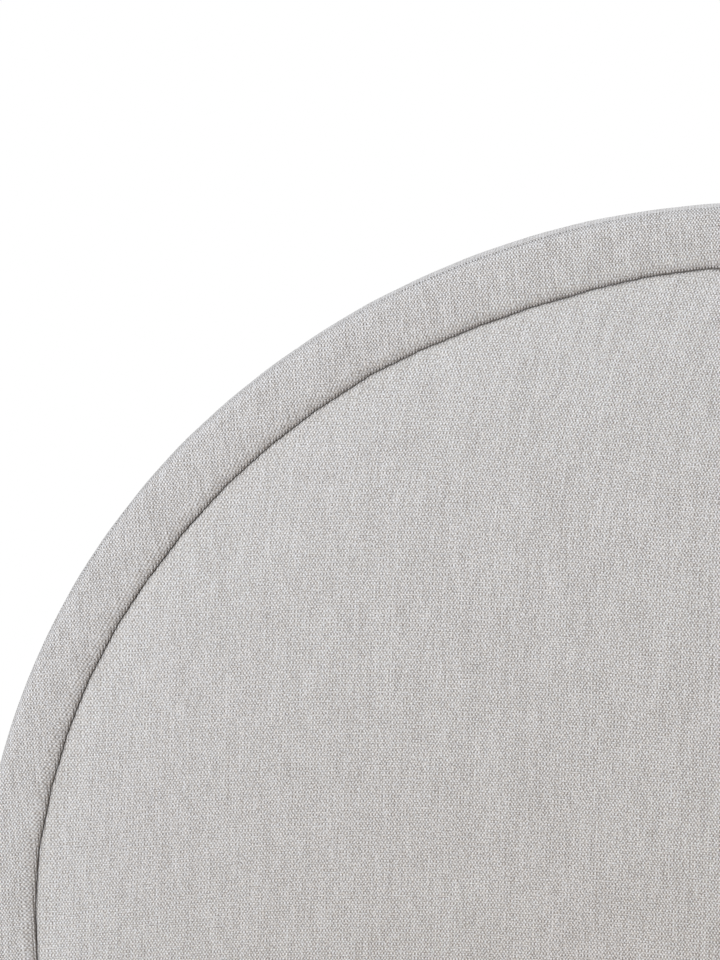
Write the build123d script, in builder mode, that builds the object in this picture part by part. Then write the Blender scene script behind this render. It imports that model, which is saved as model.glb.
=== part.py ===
from build123d import *
from math import atan2, cos, degrees, hypot, radians, sin, sqrt
import os

# A double bed with an arched, upholstered headboard and upholstered rails.
# X runs across the bed, Y from its foot (-Y) to its headboard (+Y) and Z up.
# The origin is on the floor under the middle of the bed. Left and right are
# as seen from the foot. All lengths are in millimetres.

os.makedirs("parts", exist_ok=True)

# Driving dimensions of the whole bed
bed_width = 1480
bed_length = 2060
bed_height = 1250
underbed_clearance = 110
rail_height = 240
rail_depth = 45
border_width = 60

# The headboard's outline is a three-centred arch on straight sides. The two
# shoulder arcs have their centres on the springing line, this far from the
# middle, and the crown arc has its centre this far below that line.
shoulder_centre_x = 71
crown_centre_drop = 79.85

# Layers of the headboard, from its back to its front
dust_cloth_thickness = 1
fabric_thickness = 2
frame_depth = 45
front_board_thickness = 12
border_foam_thickness = 28
pad_board_thickness = 9

# Soft edges of the border band and the centre pad
border_outer_roll = 10
border_inner_roll = 14
fabric_return_width = 60
dust_cloth_inset = 45
dust_cloth_lift = 20
crease_gap = 1
pad_skirt_thickness = 3
pad_lift = 5
pad_side_depth = 13
pad_rise = 27

# Timber of the headboard's frame
frame_bar_width = 60
middle_rail_height = 70
bottom_rail_height = 70
post_width = 60

# Rails: a board, foam and fabric round it, and a ledger that carries slats
rail_board_thickness = 25
rail_top_padding = 6
rail_edge_roll = 12
rail_bottom_roll = 5
ledger_width = 25
ledger_height = 45
ledger_end_gap = 5
slat_drop = 85

# Slats and their webbing
slat_count = 12
slat_width = 90
slat_thickness = 18
slat_end_gap = 3
slat_field_margin = 20
slat_edge_round = 2
webbing_width = 25
webbing_thickness = 1.2
webbing_x = 430

# Centre beam, its hangers and its legs
beam_width = 40
beam_height = 40
beam_wall = 1.5
beam_corner_radius = 4
beam_end_gap = 0.5
beam_side_gap = 0.3
hanger_plate_width = 84
hanger_steel = 2
hanger_reach = 32
hanger_drop = 8
leg_tube_radius = 19
leg_tube_wall = 1.5
leg_flange_length = 76
leg_flange_thickness = 3
leg_place_shares = (0.67, 0.33)

# Levelling feet, which screw in and out of the centre legs
insert_flange_thickness = 3
insert_plug_length = 20
insert_clearance = 0.1
foot_travel_room = 16
foot_pad_radius = 22
foot_pad_height = 9
foot_pad_dome = 3
foot_hex_radius = 9
foot_hex_height = 5
foot_stud_radius = 5
foot_stud_length = 61
foot_stud_clearance = 0.05

# Wooden corner legs with a top plate and a glide
leg_top_radius = 25
leg_bottom_radius = 16
leg_edge_round = 2
leg_plate_size = 56
leg_plate_thickness = 2.5
leg_plate_corner = 6
leg_plate_hole_radius = 2.5
leg_plate_hole_inset = 9
leg_stud_radius = 4
leg_stud_length = 30
glide_radius = 13
glide_height = 5
glide_edge_round = 1.5
block_size = 60

# Fasteners
bolt_radius = 4
bolt_clearance = 0.25
bolt_head_radius = 6.5
bolt_head_height = 8
bolt_socket_radius = 3.5
bolt_socket_depth = 5
counterbore_radius = 9
counterbore_depth = 14
barrel_nut_radius = 6
barrel_nut_inset = 1
barrel_nut_setback = 40
barrel_nut_clearance = 0.1
bolt_overshoot = 9
tee_flange_radius = 10
tee_flange_thickness = 1.5
tee_barrel_radius = 5
tee_barrel_length = 9
thread_clearance = 0.05
screw_radius = 2.4
screw_head_radius = 4.6
screw_head_height = 2.4
screw_clearance = 0.1
ledger_screw_length = 42
ledger_screw_count = 6
panel_screw_length = 20
beam_screw_length = 14
cut_overrun = 1
edge_match = 0.05

# Places that follow from the dimensions above
half_width = bed_width / 2
half_length = bed_length / 2
shoulder_radius = half_width - shoulder_centre_x
crown_radius = shoulder_radius + hypot(shoulder_centre_x, crown_centre_drop)
springing = bed_height - crown_radius + crown_centre_drop
crown_centre = springing - crown_centre_drop
joint_angle = degrees(atan2(crown_centre_drop, shoulder_centre_x))

cloth_back = half_length
return_back = cloth_back - dust_cloth_thickness
frame_back = return_back - fabric_thickness
frame_front = frame_back - frame_depth
board_front = frame_front - front_board_thickness
foam_front = board_front - border_foam_thickness
band_front = foam_front - fabric_thickness

rail_bottom = underbed_clearance
rail_top = rail_bottom + rail_height
timber_bottom = rail_bottom + fabric_thickness
rail_board_top = rail_top - rail_top_padding
slat_top = rail_top - slat_drop
slat_bottom = slat_top - slat_thickness
ledger_bottom = slat_bottom - ledger_height
beam_bottom = slat_bottom - beam_height
pad_bottom = slat_top + pad_lift

rail_inner_x = half_width - rail_depth
board_inner_x = rail_inner_x + fabric_thickness
board_outer_x = board_inner_x + rail_board_thickness
board_middle_x = board_inner_x + rail_board_thickness / 2
foot_inner_y = rail_depth - half_length
foot_board_inner_y = foot_inner_y - fabric_thickness
foot_board_outer_y = foot_board_inner_y - rail_board_thickness
plate_bottom = timber_bottom - leg_plate_thickness

sides = (("left", -1), ("right", 1))


def facing_foot(y):
    """Upright plane across the bed at y, seen from the foot: local axes X and Z."""
    return Plane.XZ.offset(-y)


def facing_out(sign, x):
    """Upright plane along the bed at x on one side, facing outwards: local Y is up."""
    return Plane(origin=(sign * x, 0, 0), x_dir=(0, sign, 0), z_dir=(sign, 0, 0))


def arch_face(inset, bottom):
    """Face of the headboard's outline, moved in by inset and cut level at bottom."""
    side_x = half_width - inset
    with BuildSketch() as outline:
        with BuildLine():
            Polyline((-side_x, springing), (-side_x, bottom), (side_x, bottom), (side_x, springing))
            CenterArc((shoulder_centre_x, springing), shoulder_radius - inset, 0, joint_angle)
            CenterArc((0, crown_centre), crown_radius - inset, joint_angle, 180 - 2 * joint_angle)
            CenterArc((-shoulder_centre_x, springing), shoulder_radius - inset, 180 - joint_angle,
                      joint_angle)
        make_face()
    return outline.sketch_local


def arch_band(outer_inset, inner_inset, bottom):
    """Face between two insets of the outline, open at the bottom like a horseshoe."""
    with BuildSketch() as band:
        add(arch_face(outer_inset, bottom))
        add(arch_face(inner_inset, bottom - cut_overrun), mode=Mode.SUBTRACT)
    return band.sketch_local


def on_band_edge(edge, inset):
    """Whether an edge lies on the outline moved in by inset, off the bottom face."""
    middle = edge.position_at(0.5)
    side = abs(middle.X)
    if middle.Z < springing:
        distance = half_width - side
    elif atan2(middle.Z - crown_centre, side) < radians(joint_angle):
        distance = shoulder_radius - hypot(side - shoulder_centre_x, middle.Z - springing)
    else:
        distance = crown_radius - hypot(side, middle.Z - crown_centre)
    return abs(distance - inset) < edge_match


# Head bolts go through each stile into the end of a side rail.
head_bolt_share = (0.2, 0.8)
head_bolt_z = [timber_bottom + share * (rail_board_top - timber_bottom) for share in head_bolt_share]
head_bolt_tip = band_front - barrel_nut_setback - bolt_overshoot

# Headboard frame: two stiles, three ribs along the arch, two rails and a post
rib_outer_inset = fabric_thickness
rib_inner_inset = fabric_thickness + frame_bar_width
stile_outer_x = half_width - rib_outer_inset
stile_inner_x = half_width - rib_inner_inset
stile_middle_x = (stile_outer_x + stile_inner_x) / 2

for side, sign in sides:
    with BuildPart() as stile:
        with BuildSketch(facing_foot(frame_back)):
            with Locations((sign * stile_middle_x, timber_bottom)):
                Rectangle(frame_bar_width, springing - timber_bottom, align=(Align.CENTER, Align.MIN))
        extrude(amount=frame_depth)
        with BuildSketch(facing_foot(frame_back)):
            with Locations(*[(sign * board_middle_x, z) for z in head_bolt_z]):
                Circle(bolt_radius + bolt_clearance)
        extrude(amount=frame_depth, mode=Mode.SUBTRACT)
        with BuildSketch(facing_foot(frame_back)):
            with Locations(*[(sign * board_middle_x, z) for z in head_bolt_z]):
                Circle(counterbore_radius)
        extrude(amount=counterbore_depth, mode=Mode.SUBTRACT)
    stile.part.label = f"headboard_stile_{side}"
    export_step(stile.part, f"parts/headboard_stile_{side}.step")


def rib_face(centre, radius, start, sweep_angle):
    """Face of a curved rib between the rib insets, round a centre in the outline's plane."""
    outer = radius - rib_outer_inset
    inner = radius - rib_inner_inset
    with BuildSketch() as rib:
        with BuildLine():
            outside = CenterArc(centre, outer, start, sweep_angle)
            inside = CenterArc(centre, inner, start, sweep_angle)
            Line(outside @ 0, inside @ 0)
            Line(outside @ 1, inside @ 1)
        make_face()
    return rib.sketch_local


crown_sweep = 180 - 2 * joint_angle
rib_arcs = (
    ("arch_rib_left", (-shoulder_centre_x, springing), shoulder_radius, 180 - joint_angle, joint_angle),
    ("arch_rib_crown", (0, crown_centre), crown_radius, joint_angle, crown_sweep),
    ("arch_rib_right", (shoulder_centre_x, springing), shoulder_radius, 0, joint_angle),
)
for rib_name, rib_centre, rib_radius, rib_start, rib_sweep in rib_arcs:
    with BuildPart() as arch_rib:
        with BuildSketch(facing_foot(frame_back)):
            add(rib_face(rib_centre, rib_radius, rib_start, rib_sweep))
        extrude(amount=frame_depth)
    arch_rib.part.label = rib_name
    export_step(arch_rib.part, f"parts/{rib_name}.step")

cross_rails = (
    ("headboard_middle_rail", springing - middle_rail_height, middle_rail_height),
    ("headboard_bottom_rail", slat_bottom - bottom_rail_height, bottom_rail_height),
)
for rail_name, rail_z, rail_bar_height in cross_rails:
    with BuildPart() as cross_rail:
        with BuildSketch(facing_foot(frame_back)):
            with Locations((0, rail_z)):
                Rectangle(2 * stile_inner_x, rail_bar_height, align=(Align.CENTER, Align.MIN))
        extrude(amount=frame_depth)
    cross_rail.part.label = rail_name
    export_step(cross_rail.part, f"parts/{rail_name}.step")

post_top = crown_centre + sqrt((crown_radius - rib_inner_inset) ** 2 - (post_width / 2) ** 2)
with BuildPart() as centre_post:
    with BuildSketch(facing_foot(frame_back)):
        with Locations((0, springing)):
            Rectangle(post_width, post_top - springing, align=(Align.CENTER, Align.MIN))
    extrude(amount=frame_depth)
centre_post.part.label = "headboard_centre_post"
export_step(centre_post.part, "parts/headboard_centre_post.step")

# Screws that hold the padded centre panel from behind, clear of the frame
panel_screw_x_share = (0.22, 0.62)
panel_screw_rise_share = (0.16, 0.45)
pad_half_width = half_width - border_width - crease_gap
rib_inner_rise = bed_height - rib_inner_inset - springing
low_row_z = (slat_bottom + springing - middle_rail_height) / 2
panel_screw_rows = [low_row_z, *[springing + share * rib_inner_rise for share in panel_screw_rise_share]]
panel_screw_places = [
    (sign * x_share * pad_half_width, z)
    for sign in (-1, 1)
    for x_share in panel_screw_x_share
    for z in panel_screw_rows
]
beam_screw_x = (hanger_plate_width + beam_width) / 4
beam_screw_z_share = (0.25, 0.75)
hanger_bottom = beam_bottom - hanger_drop
hanger_height = slat_bottom - hanger_bottom
hanger_screw_places = [
    (sign * beam_screw_x, hanger_bottom + share * hanger_height)
    for sign in (-1, 1)
    for share in beam_screw_z_share
]

# Front board of the headboard, one sheet over the whole frame
with BuildPart() as front_board:
    with BuildSketch(facing_foot(frame_front)):
        add(arch_face(fabric_thickness, timber_bottom))
        with Locations(*[(sign * board_middle_x, z) for sign in (-1, 1) for z in head_bolt_z]):
            Circle(bolt_radius + bolt_clearance, mode=Mode.SUBTRACT)
        with Locations(*panel_screw_places, *hanger_screw_places):
            Circle(screw_radius + screw_clearance, mode=Mode.SUBTRACT)
    extrude(amount=front_board_thickness)
front_board.part.label = "headboard_front_board"
export_step(front_board.part, "parts/headboard_front_board.step")

# Core of the border band: foam above the rails, timber mounting blocks beside them
core_inner_inset = border_width - fabric_thickness
with BuildPart() as band_core:
    with BuildSketch(facing_foot(board_front)):
        add(arch_band(fabric_thickness, core_inner_inset, timber_bottom))
    extrude(amount=border_foam_thickness)
    front_edges = band_core.faces().sort_by(Axis.Y)[0].edges()
    fillet([e for e in front_edges if on_band_edge(e, fabric_thickness)],
           border_outer_roll - fabric_thickness)
    front_edges = band_core.faces().sort_by(Axis.Y)[0].edges()
    fillet([e for e in front_edges if on_band_edge(e, core_inner_inset)],
           border_inner_roll - fabric_thickness)

with BuildPart() as border_pad:
    add(band_core.part)
    split(bisect_by=Plane.XY.offset(rail_top), keep=Keep.TOP)
border_pad.part.label = "border_pad"
export_step(border_pad.part, "parts/border_pad.step")

for side, sign in sides:
    with BuildPart() as mount_block:
        add(band_core.part)
        split(bisect_by=Plane.XY.offset(rail_top), keep=Keep.BOTTOM)
        split(bisect_by=Plane.YZ, keep=Keep.TOP if sign > 0 else Keep.BOTTOM)
        with BuildSketch(facing_foot(board_front)):
            with Locations(*[(sign * board_middle_x, z) for z in head_bolt_z]):
                Circle(bolt_radius + bolt_clearance)
        extrude(amount=border_foam_thickness, mode=Mode.SUBTRACT)
    mount_block.part.label = f"mount_block_{side}"
    export_step(mount_block.part, f"parts/mount_block_{side}.step")

# Border cover: fabric over the band, round the side edge and back over the frame
with BuildPart() as border_cover:
    with BuildSketch(facing_foot(board_front)):
        add(arch_band(0, border_width, rail_bottom))
    extrude(amount=board_front - band_front)
    front_edges = border_cover.faces().sort_by(Axis.Y)[0].edges()
    fillet([e for e in front_edges if on_band_edge(e, 0)], border_outer_roll)
    front_edges = border_cover.faces().sort_by(Axis.Y)[0].edges()
    fillet([e for e in front_edges if on_band_edge(e, border_width)], border_inner_roll)
    add(band_core.part, mode=Mode.SUBTRACT)
    with BuildSketch(facing_foot(return_back)):
        add(arch_band(0, fabric_thickness, rail_bottom))
    extrude(amount=return_back - board_front)
    with BuildSketch(facing_foot(return_back)):
        add(arch_band(0, fabric_return_width, timber_bottom))
        with Locations(*[(sign * board_middle_x, z) for sign in (-1, 1) for z in head_bolt_z]):
            Circle(counterbore_radius, mode=Mode.SUBTRACT)
    extrude(amount=fabric_thickness)
    with BuildSketch(facing_foot(foam_front)):
        with Locations(*[(sign * board_middle_x, z) for sign in (-1, 1) for z in head_bolt_z]):
            Circle(bolt_radius + bolt_clearance)
    extrude(amount=fabric_thickness, mode=Mode.SUBTRACT)
border_cover.part.label = "border_cover"
export_step(border_cover.part, "parts/border_cover.step")

# Centre panel: a thin board and the crowned pad pulled over its edges. The pad
# is lofted through rings of the outline. Each ring is moved in by a share of the
# reach and forward by a share of the rise, from the drawn-in side to the crown.
pad_inset = border_width + crease_gap
pad_side_front = board_front - pad_side_depth
crown_reach_share = 0.7
pad_reach = crown_reach_share * (springing - pad_bottom)
pad_ring_shares = (
    (0, 0), (0.004, 0.16), (0.012, 0.29), (0.026, 0.41), (0.045, 0.5), (0.08, 0.58),
    (0.14, 0.66), (0.26, 0.76), (0.42, 0.85), (0.65, 0.93), (1, 1),
)

with BuildPart() as centre_pad_board:
    with BuildSketch(facing_foot(board_front)):
        add(arch_face(pad_inset + pad_skirt_thickness, pad_bottom + pad_skirt_thickness))
        with Locations(*panel_screw_places):
            Circle(screw_radius + screw_clearance, mode=Mode.SUBTRACT)
    extrude(amount=pad_board_thickness)
centre_pad_board.part.label = "centre_pad_board"
export_step(centre_pad_board.part, "parts/centre_pad_board.step")

with BuildPart() as centre_pad:
    with BuildSketch(facing_foot(board_front)):
        add(arch_face(pad_inset, pad_bottom))
    extrude(amount=pad_side_depth)
    for inset_share, rise_share in pad_ring_shares:
        ring_inset = inset_share * pad_reach
        with BuildSketch(facing_foot(pad_side_front - rise_share * pad_rise)):
            add(arch_face(pad_inset + ring_inset, pad_bottom + ring_inset))
    loft(ruled=True)
    with BuildSketch(facing_foot(board_front)):
        add(arch_face(pad_inset + pad_skirt_thickness, pad_bottom + pad_skirt_thickness))
    extrude(amount=pad_board_thickness, mode=Mode.SUBTRACT)
centre_pad.part.label = "centre_pad"
export_step(centre_pad.part, "parts/centre_pad.step")

# Thin cloth that closes the back of the headboard
with BuildPart() as dust_cloth:
    with BuildSketch(facing_foot(cloth_back)):
        add(arch_face(dust_cloth_inset, timber_bottom + dust_cloth_lift))
    extrude(amount=dust_cloth_thickness)
dust_cloth.part.label = "dust_cloth"
export_step(dust_cloth.part, "parts/dust_cloth.step")

# Side rails. Each board lies in a cover of foam and fabric that wraps its outer
# face, its edges and the top of its inner face, down to just above the slats.
cover_end = band_front
cover_open_top = pad_bottom
side_rail_length = cover_end - foot_inner_y
nut_y = cover_end - barrel_nut_setback
board_height = rail_board_top - timber_bottom
ledger_start = foot_board_inner_y
ledger_length = band_front - ledger_end_gap - ledger_start
ledger_screw_z = (ledger_bottom + slat_bottom) / 2
ledger_screw_places = [
    (ledger_start + (index + 0.5) * ledger_length / ledger_screw_count, ledger_screw_z)
    for index in range(ledger_screw_count)
]
tee_hole_radius = tee_barrel_radius + thread_clearance
block_height = ledger_bottom - timber_bottom
side_bolt_share = (0.17, 0.61)
foot_bolt_share = (0.39, 0.83)
side_bolt_z = [timber_bottom + share * block_height for share in side_bolt_share]
foot_bolt_z = [timber_bottom + share * block_height for share in foot_bolt_share]
block_middle_y = foot_board_inner_y + block_size / 2
block_middle_x = board_inner_x - block_size / 2

for side, sign in sides:
    inner_face = facing_out(sign, board_inner_x)
    nut_holes = [(sign * nut_y, z) for z in head_bolt_z]
    corner_holes = [(sign * block_middle_y, z) for z in side_bolt_z]
    with BuildPart() as rail_board:
        with BuildSketch(facing_foot(cover_end)):
            with Locations((sign * board_middle_x, timber_bottom)):
                Rectangle(rail_board_thickness, board_height, align=(Align.CENTER, Align.MIN))
        extrude(amount=side_rail_length)
        with BuildSketch(facing_foot(cover_end)):
            with Locations(*[(sign * board_middle_x, z) for z in head_bolt_z]):
                Circle(bolt_radius + bolt_clearance)
        extrude(amount=cover_end - head_bolt_tip, mode=Mode.SUBTRACT)
        with BuildSketch(inner_face):
            with Locations(*nut_holes):
                Circle(barrel_nut_radius + barrel_nut_clearance)
            with Locations(*corner_holes):
                Circle(bolt_radius + bolt_clearance)
        extrude(amount=rail_board_thickness, mode=Mode.SUBTRACT)
        with BuildSketch(inner_face.offset(rail_board_thickness)):
            with Locations(*corner_holes):
                Circle(tee_hole_radius)
        extrude(amount=-tee_flange_thickness - tee_barrel_length, mode=Mode.SUBTRACT)
        with BuildSketch(inner_face.offset(rail_board_thickness)):
            with Locations(*corner_holes):
                Circle(tee_flange_radius + screw_clearance)
        extrude(amount=-tee_flange_thickness, mode=Mode.SUBTRACT)
        with BuildSketch(inner_face):
            with Locations(*[(sign * y, z) for y, z in ledger_screw_places]):
                Circle(screw_radius + screw_clearance)
        extrude(amount=ledger_screw_length - ledger_width + screw_clearance, mode=Mode.SUBTRACT)
    rail_board.part.label = f"side_rail_{side}_board"
    export_step(rail_board.part, f"parts/side_rail_{side}_board.step")

    with BuildPart() as rail_cover:
        with BuildSketch(facing_foot(cover_end)):
            with Locations((sign * (rail_inner_x + rail_depth / 2), rail_bottom)):
                Rectangle(rail_depth, rail_height, align=(Align.CENTER, Align.MIN))
        extrude(amount=side_rail_length)
        long_edges = rail_cover.edges().filter_by(Axis.Y)
        fillet(long_edges.group_by(Axis.Z)[-1], rail_edge_roll)
        outer_edge = rail_cover.edges().filter_by(Axis.Y).group_by(Axis.Z)[0].sort_by(Axis.X)
        fillet(outer_edge[-1 if sign > 0 else 0], rail_bottom_roll)
        with BuildSketch(facing_foot(cover_end)):
            with Locations((sign * board_middle_x, timber_bottom)):
                Rectangle(rail_board_thickness, board_height, align=(Align.CENTER, Align.MIN))
            with Locations((sign * (rail_inner_x + fabric_thickness / 2), rail_bottom)):
                Rectangle(fabric_thickness, cover_open_top - rail_bottom, align=(Align.CENTER, Align.MIN))
        extrude(amount=side_rail_length, mode=Mode.SUBTRACT)
    rail_cover.part.label = f"side_rail_{side}_cover"
    export_step(rail_cover.part, f"parts/side_rail_{side}_cover.step")

    with BuildPart() as ledger:
        with BuildSketch(inner_face):
            with Locations((sign * (ledger_start + ledger_length / 2), ledger_screw_z)):
                Rectangle(ledger_length, ledger_height)
            with Locations(*[(sign * y, z) for y, z in ledger_screw_places]):
                Circle(screw_radius + screw_clearance, mode=Mode.SUBTRACT)
        extrude(amount=-ledger_width)
        with BuildSketch(inner_face.offset(-ledger_width)):
            with Locations(*[(sign * y, z) for y, z in ledger_screw_places]):
                Circle(screw_head_radius + screw_clearance)
        extrude(amount=screw_head_height, mode=Mode.SUBTRACT)
    ledger.part.label = f"ledger_{side}"
    export_step(ledger.part, f"parts/ledger_{side}.step")

    with BuildPart() as corner_block:
        with BuildSketch(Plane.XY.offset(timber_bottom)):
            with Locations((sign * block_middle_x, block_middle_y)):
                Rectangle(block_size, block_size)
        extrude(amount=block_height)
        with BuildSketch(inner_face):
            with Locations(*corner_holes):
                Circle(bolt_radius + bolt_clearance)
        extrude(amount=-block_size, mode=Mode.SUBTRACT)
        with BuildSketch(facing_foot(foot_board_inner_y)):
            with Locations(*[(sign * block_middle_x, z) for z in foot_bolt_z]):
                Circle(bolt_radius + bolt_clearance)
        extrude(amount=-block_size, mode=Mode.SUBTRACT)
    corner_block.part.label = f"corner_block_{side}"
    export_step(corner_block.part, f"parts/corner_block_{side}.step")

# Foot rail: a board across the bed and a cover that also wraps its ends
with BuildPart() as foot_board:
    with BuildSketch(facing_foot(foot_board_inner_y)):
        with Locations((0, timber_bottom)):
            Rectangle(2 * board_outer_x, board_height, align=(Align.CENTER, Align.MIN))
        with Locations(*[(sign * block_middle_x, z) for sign in (-1, 1) for z in foot_bolt_z]):
            Circle(bolt_radius + bolt_clearance, mode=Mode.SUBTRACT)
        with Locations(*hanger_screw_places):
            Circle(screw_radius + screw_clearance, mode=Mode.SUBTRACT)
    extrude(amount=rail_board_thickness)
    with BuildSketch(facing_foot(foot_board_outer_y)):
        with Locations(*[(sign * block_middle_x, z) for sign in (-1, 1) for z in foot_bolt_z]):
            Circle(tee_hole_radius)
    extrude(amount=-tee_flange_thickness - tee_barrel_length, mode=Mode.SUBTRACT)
    with BuildSketch(facing_foot(foot_board_outer_y)):
        with Locations(*[(sign * block_middle_x, z) for sign in (-1, 1) for z in foot_bolt_z]):
            Circle(tee_flange_radius + screw_clearance)
    extrude(amount=-tee_flange_thickness, mode=Mode.SUBTRACT)
foot_board.part.label = "foot_rail_board"
export_step(foot_board.part, "parts/foot_rail_board.step")

with BuildPart() as foot_cover:
    with BuildSketch(facing_foot(foot_inner_y)):
        with Locations((0, rail_bottom)):
            Rectangle(bed_width, rail_height, align=(Align.CENTER, Align.MIN))
    extrude(amount=rail_depth)
    front_uprights = foot_cover.edges().filter_by(Axis.Z).group_by(Axis.Y)[0]
    front_top = foot_cover.edges().filter_by(Axis.X).group_by(Axis.Z)[-1].sort_by(Axis.Y)[0]
    end_tops = foot_cover.edges().filter_by(Axis.Y).group_by(Axis.Z)[-1]
    fillet([*front_uprights, front_top, *end_tops], rail_edge_roll)
    with BuildSketch(facing_foot(foot_board_inner_y)):
        with Locations((0, timber_bottom)):
            Rectangle(2 * board_outer_x, board_height, align=(Align.CENTER, Align.MIN))
    extrude(amount=rail_board_thickness, mode=Mode.SUBTRACT)
    with BuildSketch(facing_foot(foot_inner_y)):
        with Locations((0, rail_bottom)):
            Rectangle(2 * board_outer_x, cover_open_top - rail_bottom, align=(Align.CENTER, Align.MIN))
    extrude(amount=fabric_thickness, mode=Mode.SUBTRACT)
foot_cover.part.label = "foot_rail_cover"
export_step(foot_cover.part, "parts/foot_rail_cover.step")

# Twelve full-width slats on the ledgers and the beam, and two webbing straps
slat_length = 2 * (rail_inner_x - slat_end_gap)
slat_field_start = foot_inner_y + slat_field_margin
slat_field_length = band_front - slat_field_margin - slat_field_start
slat_pitch = (slat_field_length - slat_width) / (slat_count - 1)
for index in range(slat_count):
    slat_y = slat_field_start + slat_width / 2 + index * slat_pitch
    with BuildPart() as slat:
        with BuildSketch(Plane.XY.offset(slat_bottom)):
            with Locations((0, slat_y)):
                Rectangle(slat_length, slat_width)
        extrude(amount=slat_thickness)
        fillet(slat.edges().filter_by(Axis.X), slat_edge_round)
    slat.part.label = f"slat_{index + 1:02d}"
    export_step(slat.part, f"parts/slat_{index + 1:02d}.step")

with BuildPart() as webbing:
    with BuildSketch(Plane.XY.offset(slat_top)):
        with Locations(*[(sign * webbing_x, slat_field_start + slat_field_length / 2) for sign in (-1, 1)]):
            Rectangle(webbing_width, slat_field_length)
    extrude(amount=webbing_thickness)
webbing.part.label = "slat_webbing"
export_step(webbing.part, "parts/slat_webbing.step")

# Centre beam: a steel tube that hangs in two pressed saddles
beam_foot_end = foot_board_inner_y + hanger_steel + beam_end_gap
beam_head_end = board_front - hanger_steel - beam_end_gap
beam_length = beam_head_end - beam_foot_end
beam_middle_z = beam_bottom + beam_height / 2
leg_places = [beam_foot_end + share * beam_length for share in leg_place_shares]
flange_screw_reach = (leg_flange_length / 2 + leg_tube_radius) / 2
flange_screw_places = [(0, y + sign * flange_screw_reach) for y in leg_places for sign in (-1, 1)]
with BuildPart() as centre_beam:
    with BuildSketch(facing_foot(beam_head_end)):
        with Locations((0, beam_middle_z)):
            RectangleRounded(beam_width, beam_height, beam_corner_radius)
            RectangleRounded(beam_width - 2 * beam_wall, beam_height - 2 * beam_wall,
                             beam_corner_radius - beam_wall, mode=Mode.SUBTRACT)
    extrude(amount=beam_length)
    with BuildSketch(Plane.XY.offset(beam_bottom)):
        with Locations(*flange_screw_places):
            Circle(screw_radius + screw_clearance)
    extrude(amount=beam_wall, mode=Mode.SUBTRACT)
centre_beam.part.label = "centre_beam"
export_step(centre_beam.part, "parts/centre_beam.step")

# Each saddle is a plate screwed to the end board, with two cheeks and a seat.
# Toward is 1 where the saddle opens to the foot and -1 where it opens to the head.
beam_ends = (("head", board_front, 1), ("foot", foot_board_inner_y, -1))
cheek_inner_x = beam_width / 2 + beam_side_gap
seat_bottom = beam_bottom - hanger_steel
for end_name, end_y, toward in beam_ends:
    with BuildPart() as beam_hanger:
        with BuildSketch(facing_foot(end_y)):
            with Locations((0, hanger_bottom)):
                Rectangle(hanger_plate_width, hanger_height, align=(Align.CENTER, Align.MIN))
            with Locations(*hanger_screw_places):
                Circle(screw_radius + screw_clearance, mode=Mode.SUBTRACT)
        extrude(amount=toward * hanger_steel)
        with BuildSketch(facing_foot(end_y - toward * hanger_steel)):
            with Locations((0, seat_bottom)):
                Rectangle(2 * (cheek_inner_x + hanger_steel), slat_bottom - seat_bottom,
                          align=(Align.CENTER, Align.MIN))
            with Locations((0, beam_bottom)):
                Rectangle(2 * cheek_inner_x, slat_bottom - beam_bottom, align=(Align.CENTER, Align.MIN),
                          mode=Mode.SUBTRACT)
        extrude(amount=toward * hanger_reach)
    beam_hanger.part.label = f"beam_hanger_{end_name}"
    export_step(beam_hanger.part, f"parts/beam_hanger_{end_name}.step")

# Centre legs: a tube welded under a flange, with a threaded insert in its end
flange_bottom = beam_bottom - leg_flange_thickness
foot_top = foot_pad_height + foot_hex_height
insert_bottom = foot_top + foot_travel_room
tube_bottom = insert_bottom + insert_flange_thickness
tube_bore = leg_tube_radius - leg_tube_wall
for index, leg_y in enumerate(leg_places):
    with BuildPart() as centre_leg:
        with BuildSketch(Plane.XY.offset(flange_bottom)):
            with Locations((0, leg_y)):
                Rectangle(beam_width, leg_flange_length)
            with Locations((0, leg_y - flange_screw_reach), (0, leg_y + flange_screw_reach)):
                Circle(screw_radius + screw_clearance, mode=Mode.SUBTRACT)
        extrude(amount=leg_flange_thickness)
        with BuildSketch(Plane.XY.offset(tube_bottom)):
            with Locations((0, leg_y)):
                Circle(leg_tube_radius)
                Circle(tube_bore, mode=Mode.SUBTRACT)
        extrude(amount=flange_bottom - tube_bottom)
    centre_leg.part.label = f"centre_leg_{index + 1}"
    export_step(centre_leg.part, f"parts/centre_leg_{index + 1}.step")

    with BuildPart() as levelling_foot:
        with BuildSketch(Plane.XY):
            with Locations((0, leg_y)):
                Circle(foot_pad_radius)
        extrude(amount=foot_pad_height)
        fillet(levelling_foot.edges().group_by(Axis.Z)[-1], foot_pad_dome)
        with BuildSketch(Plane.XY.offset(foot_pad_height)):
            with Locations((0, leg_y)):
                RegularPolygon(foot_hex_radius, 6)
        extrude(amount=foot_hex_height)
        with BuildSketch(Plane.XY.offset(foot_top)):
            with Locations((0, leg_y)):
                Circle(foot_stud_radius)
        extrude(amount=foot_stud_length)
    levelling_foot.part.label = f"levelling_foot_{index + 1}"
    export_step(levelling_foot.part, f"parts/levelling_foot_{index + 1}.step")

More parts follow.
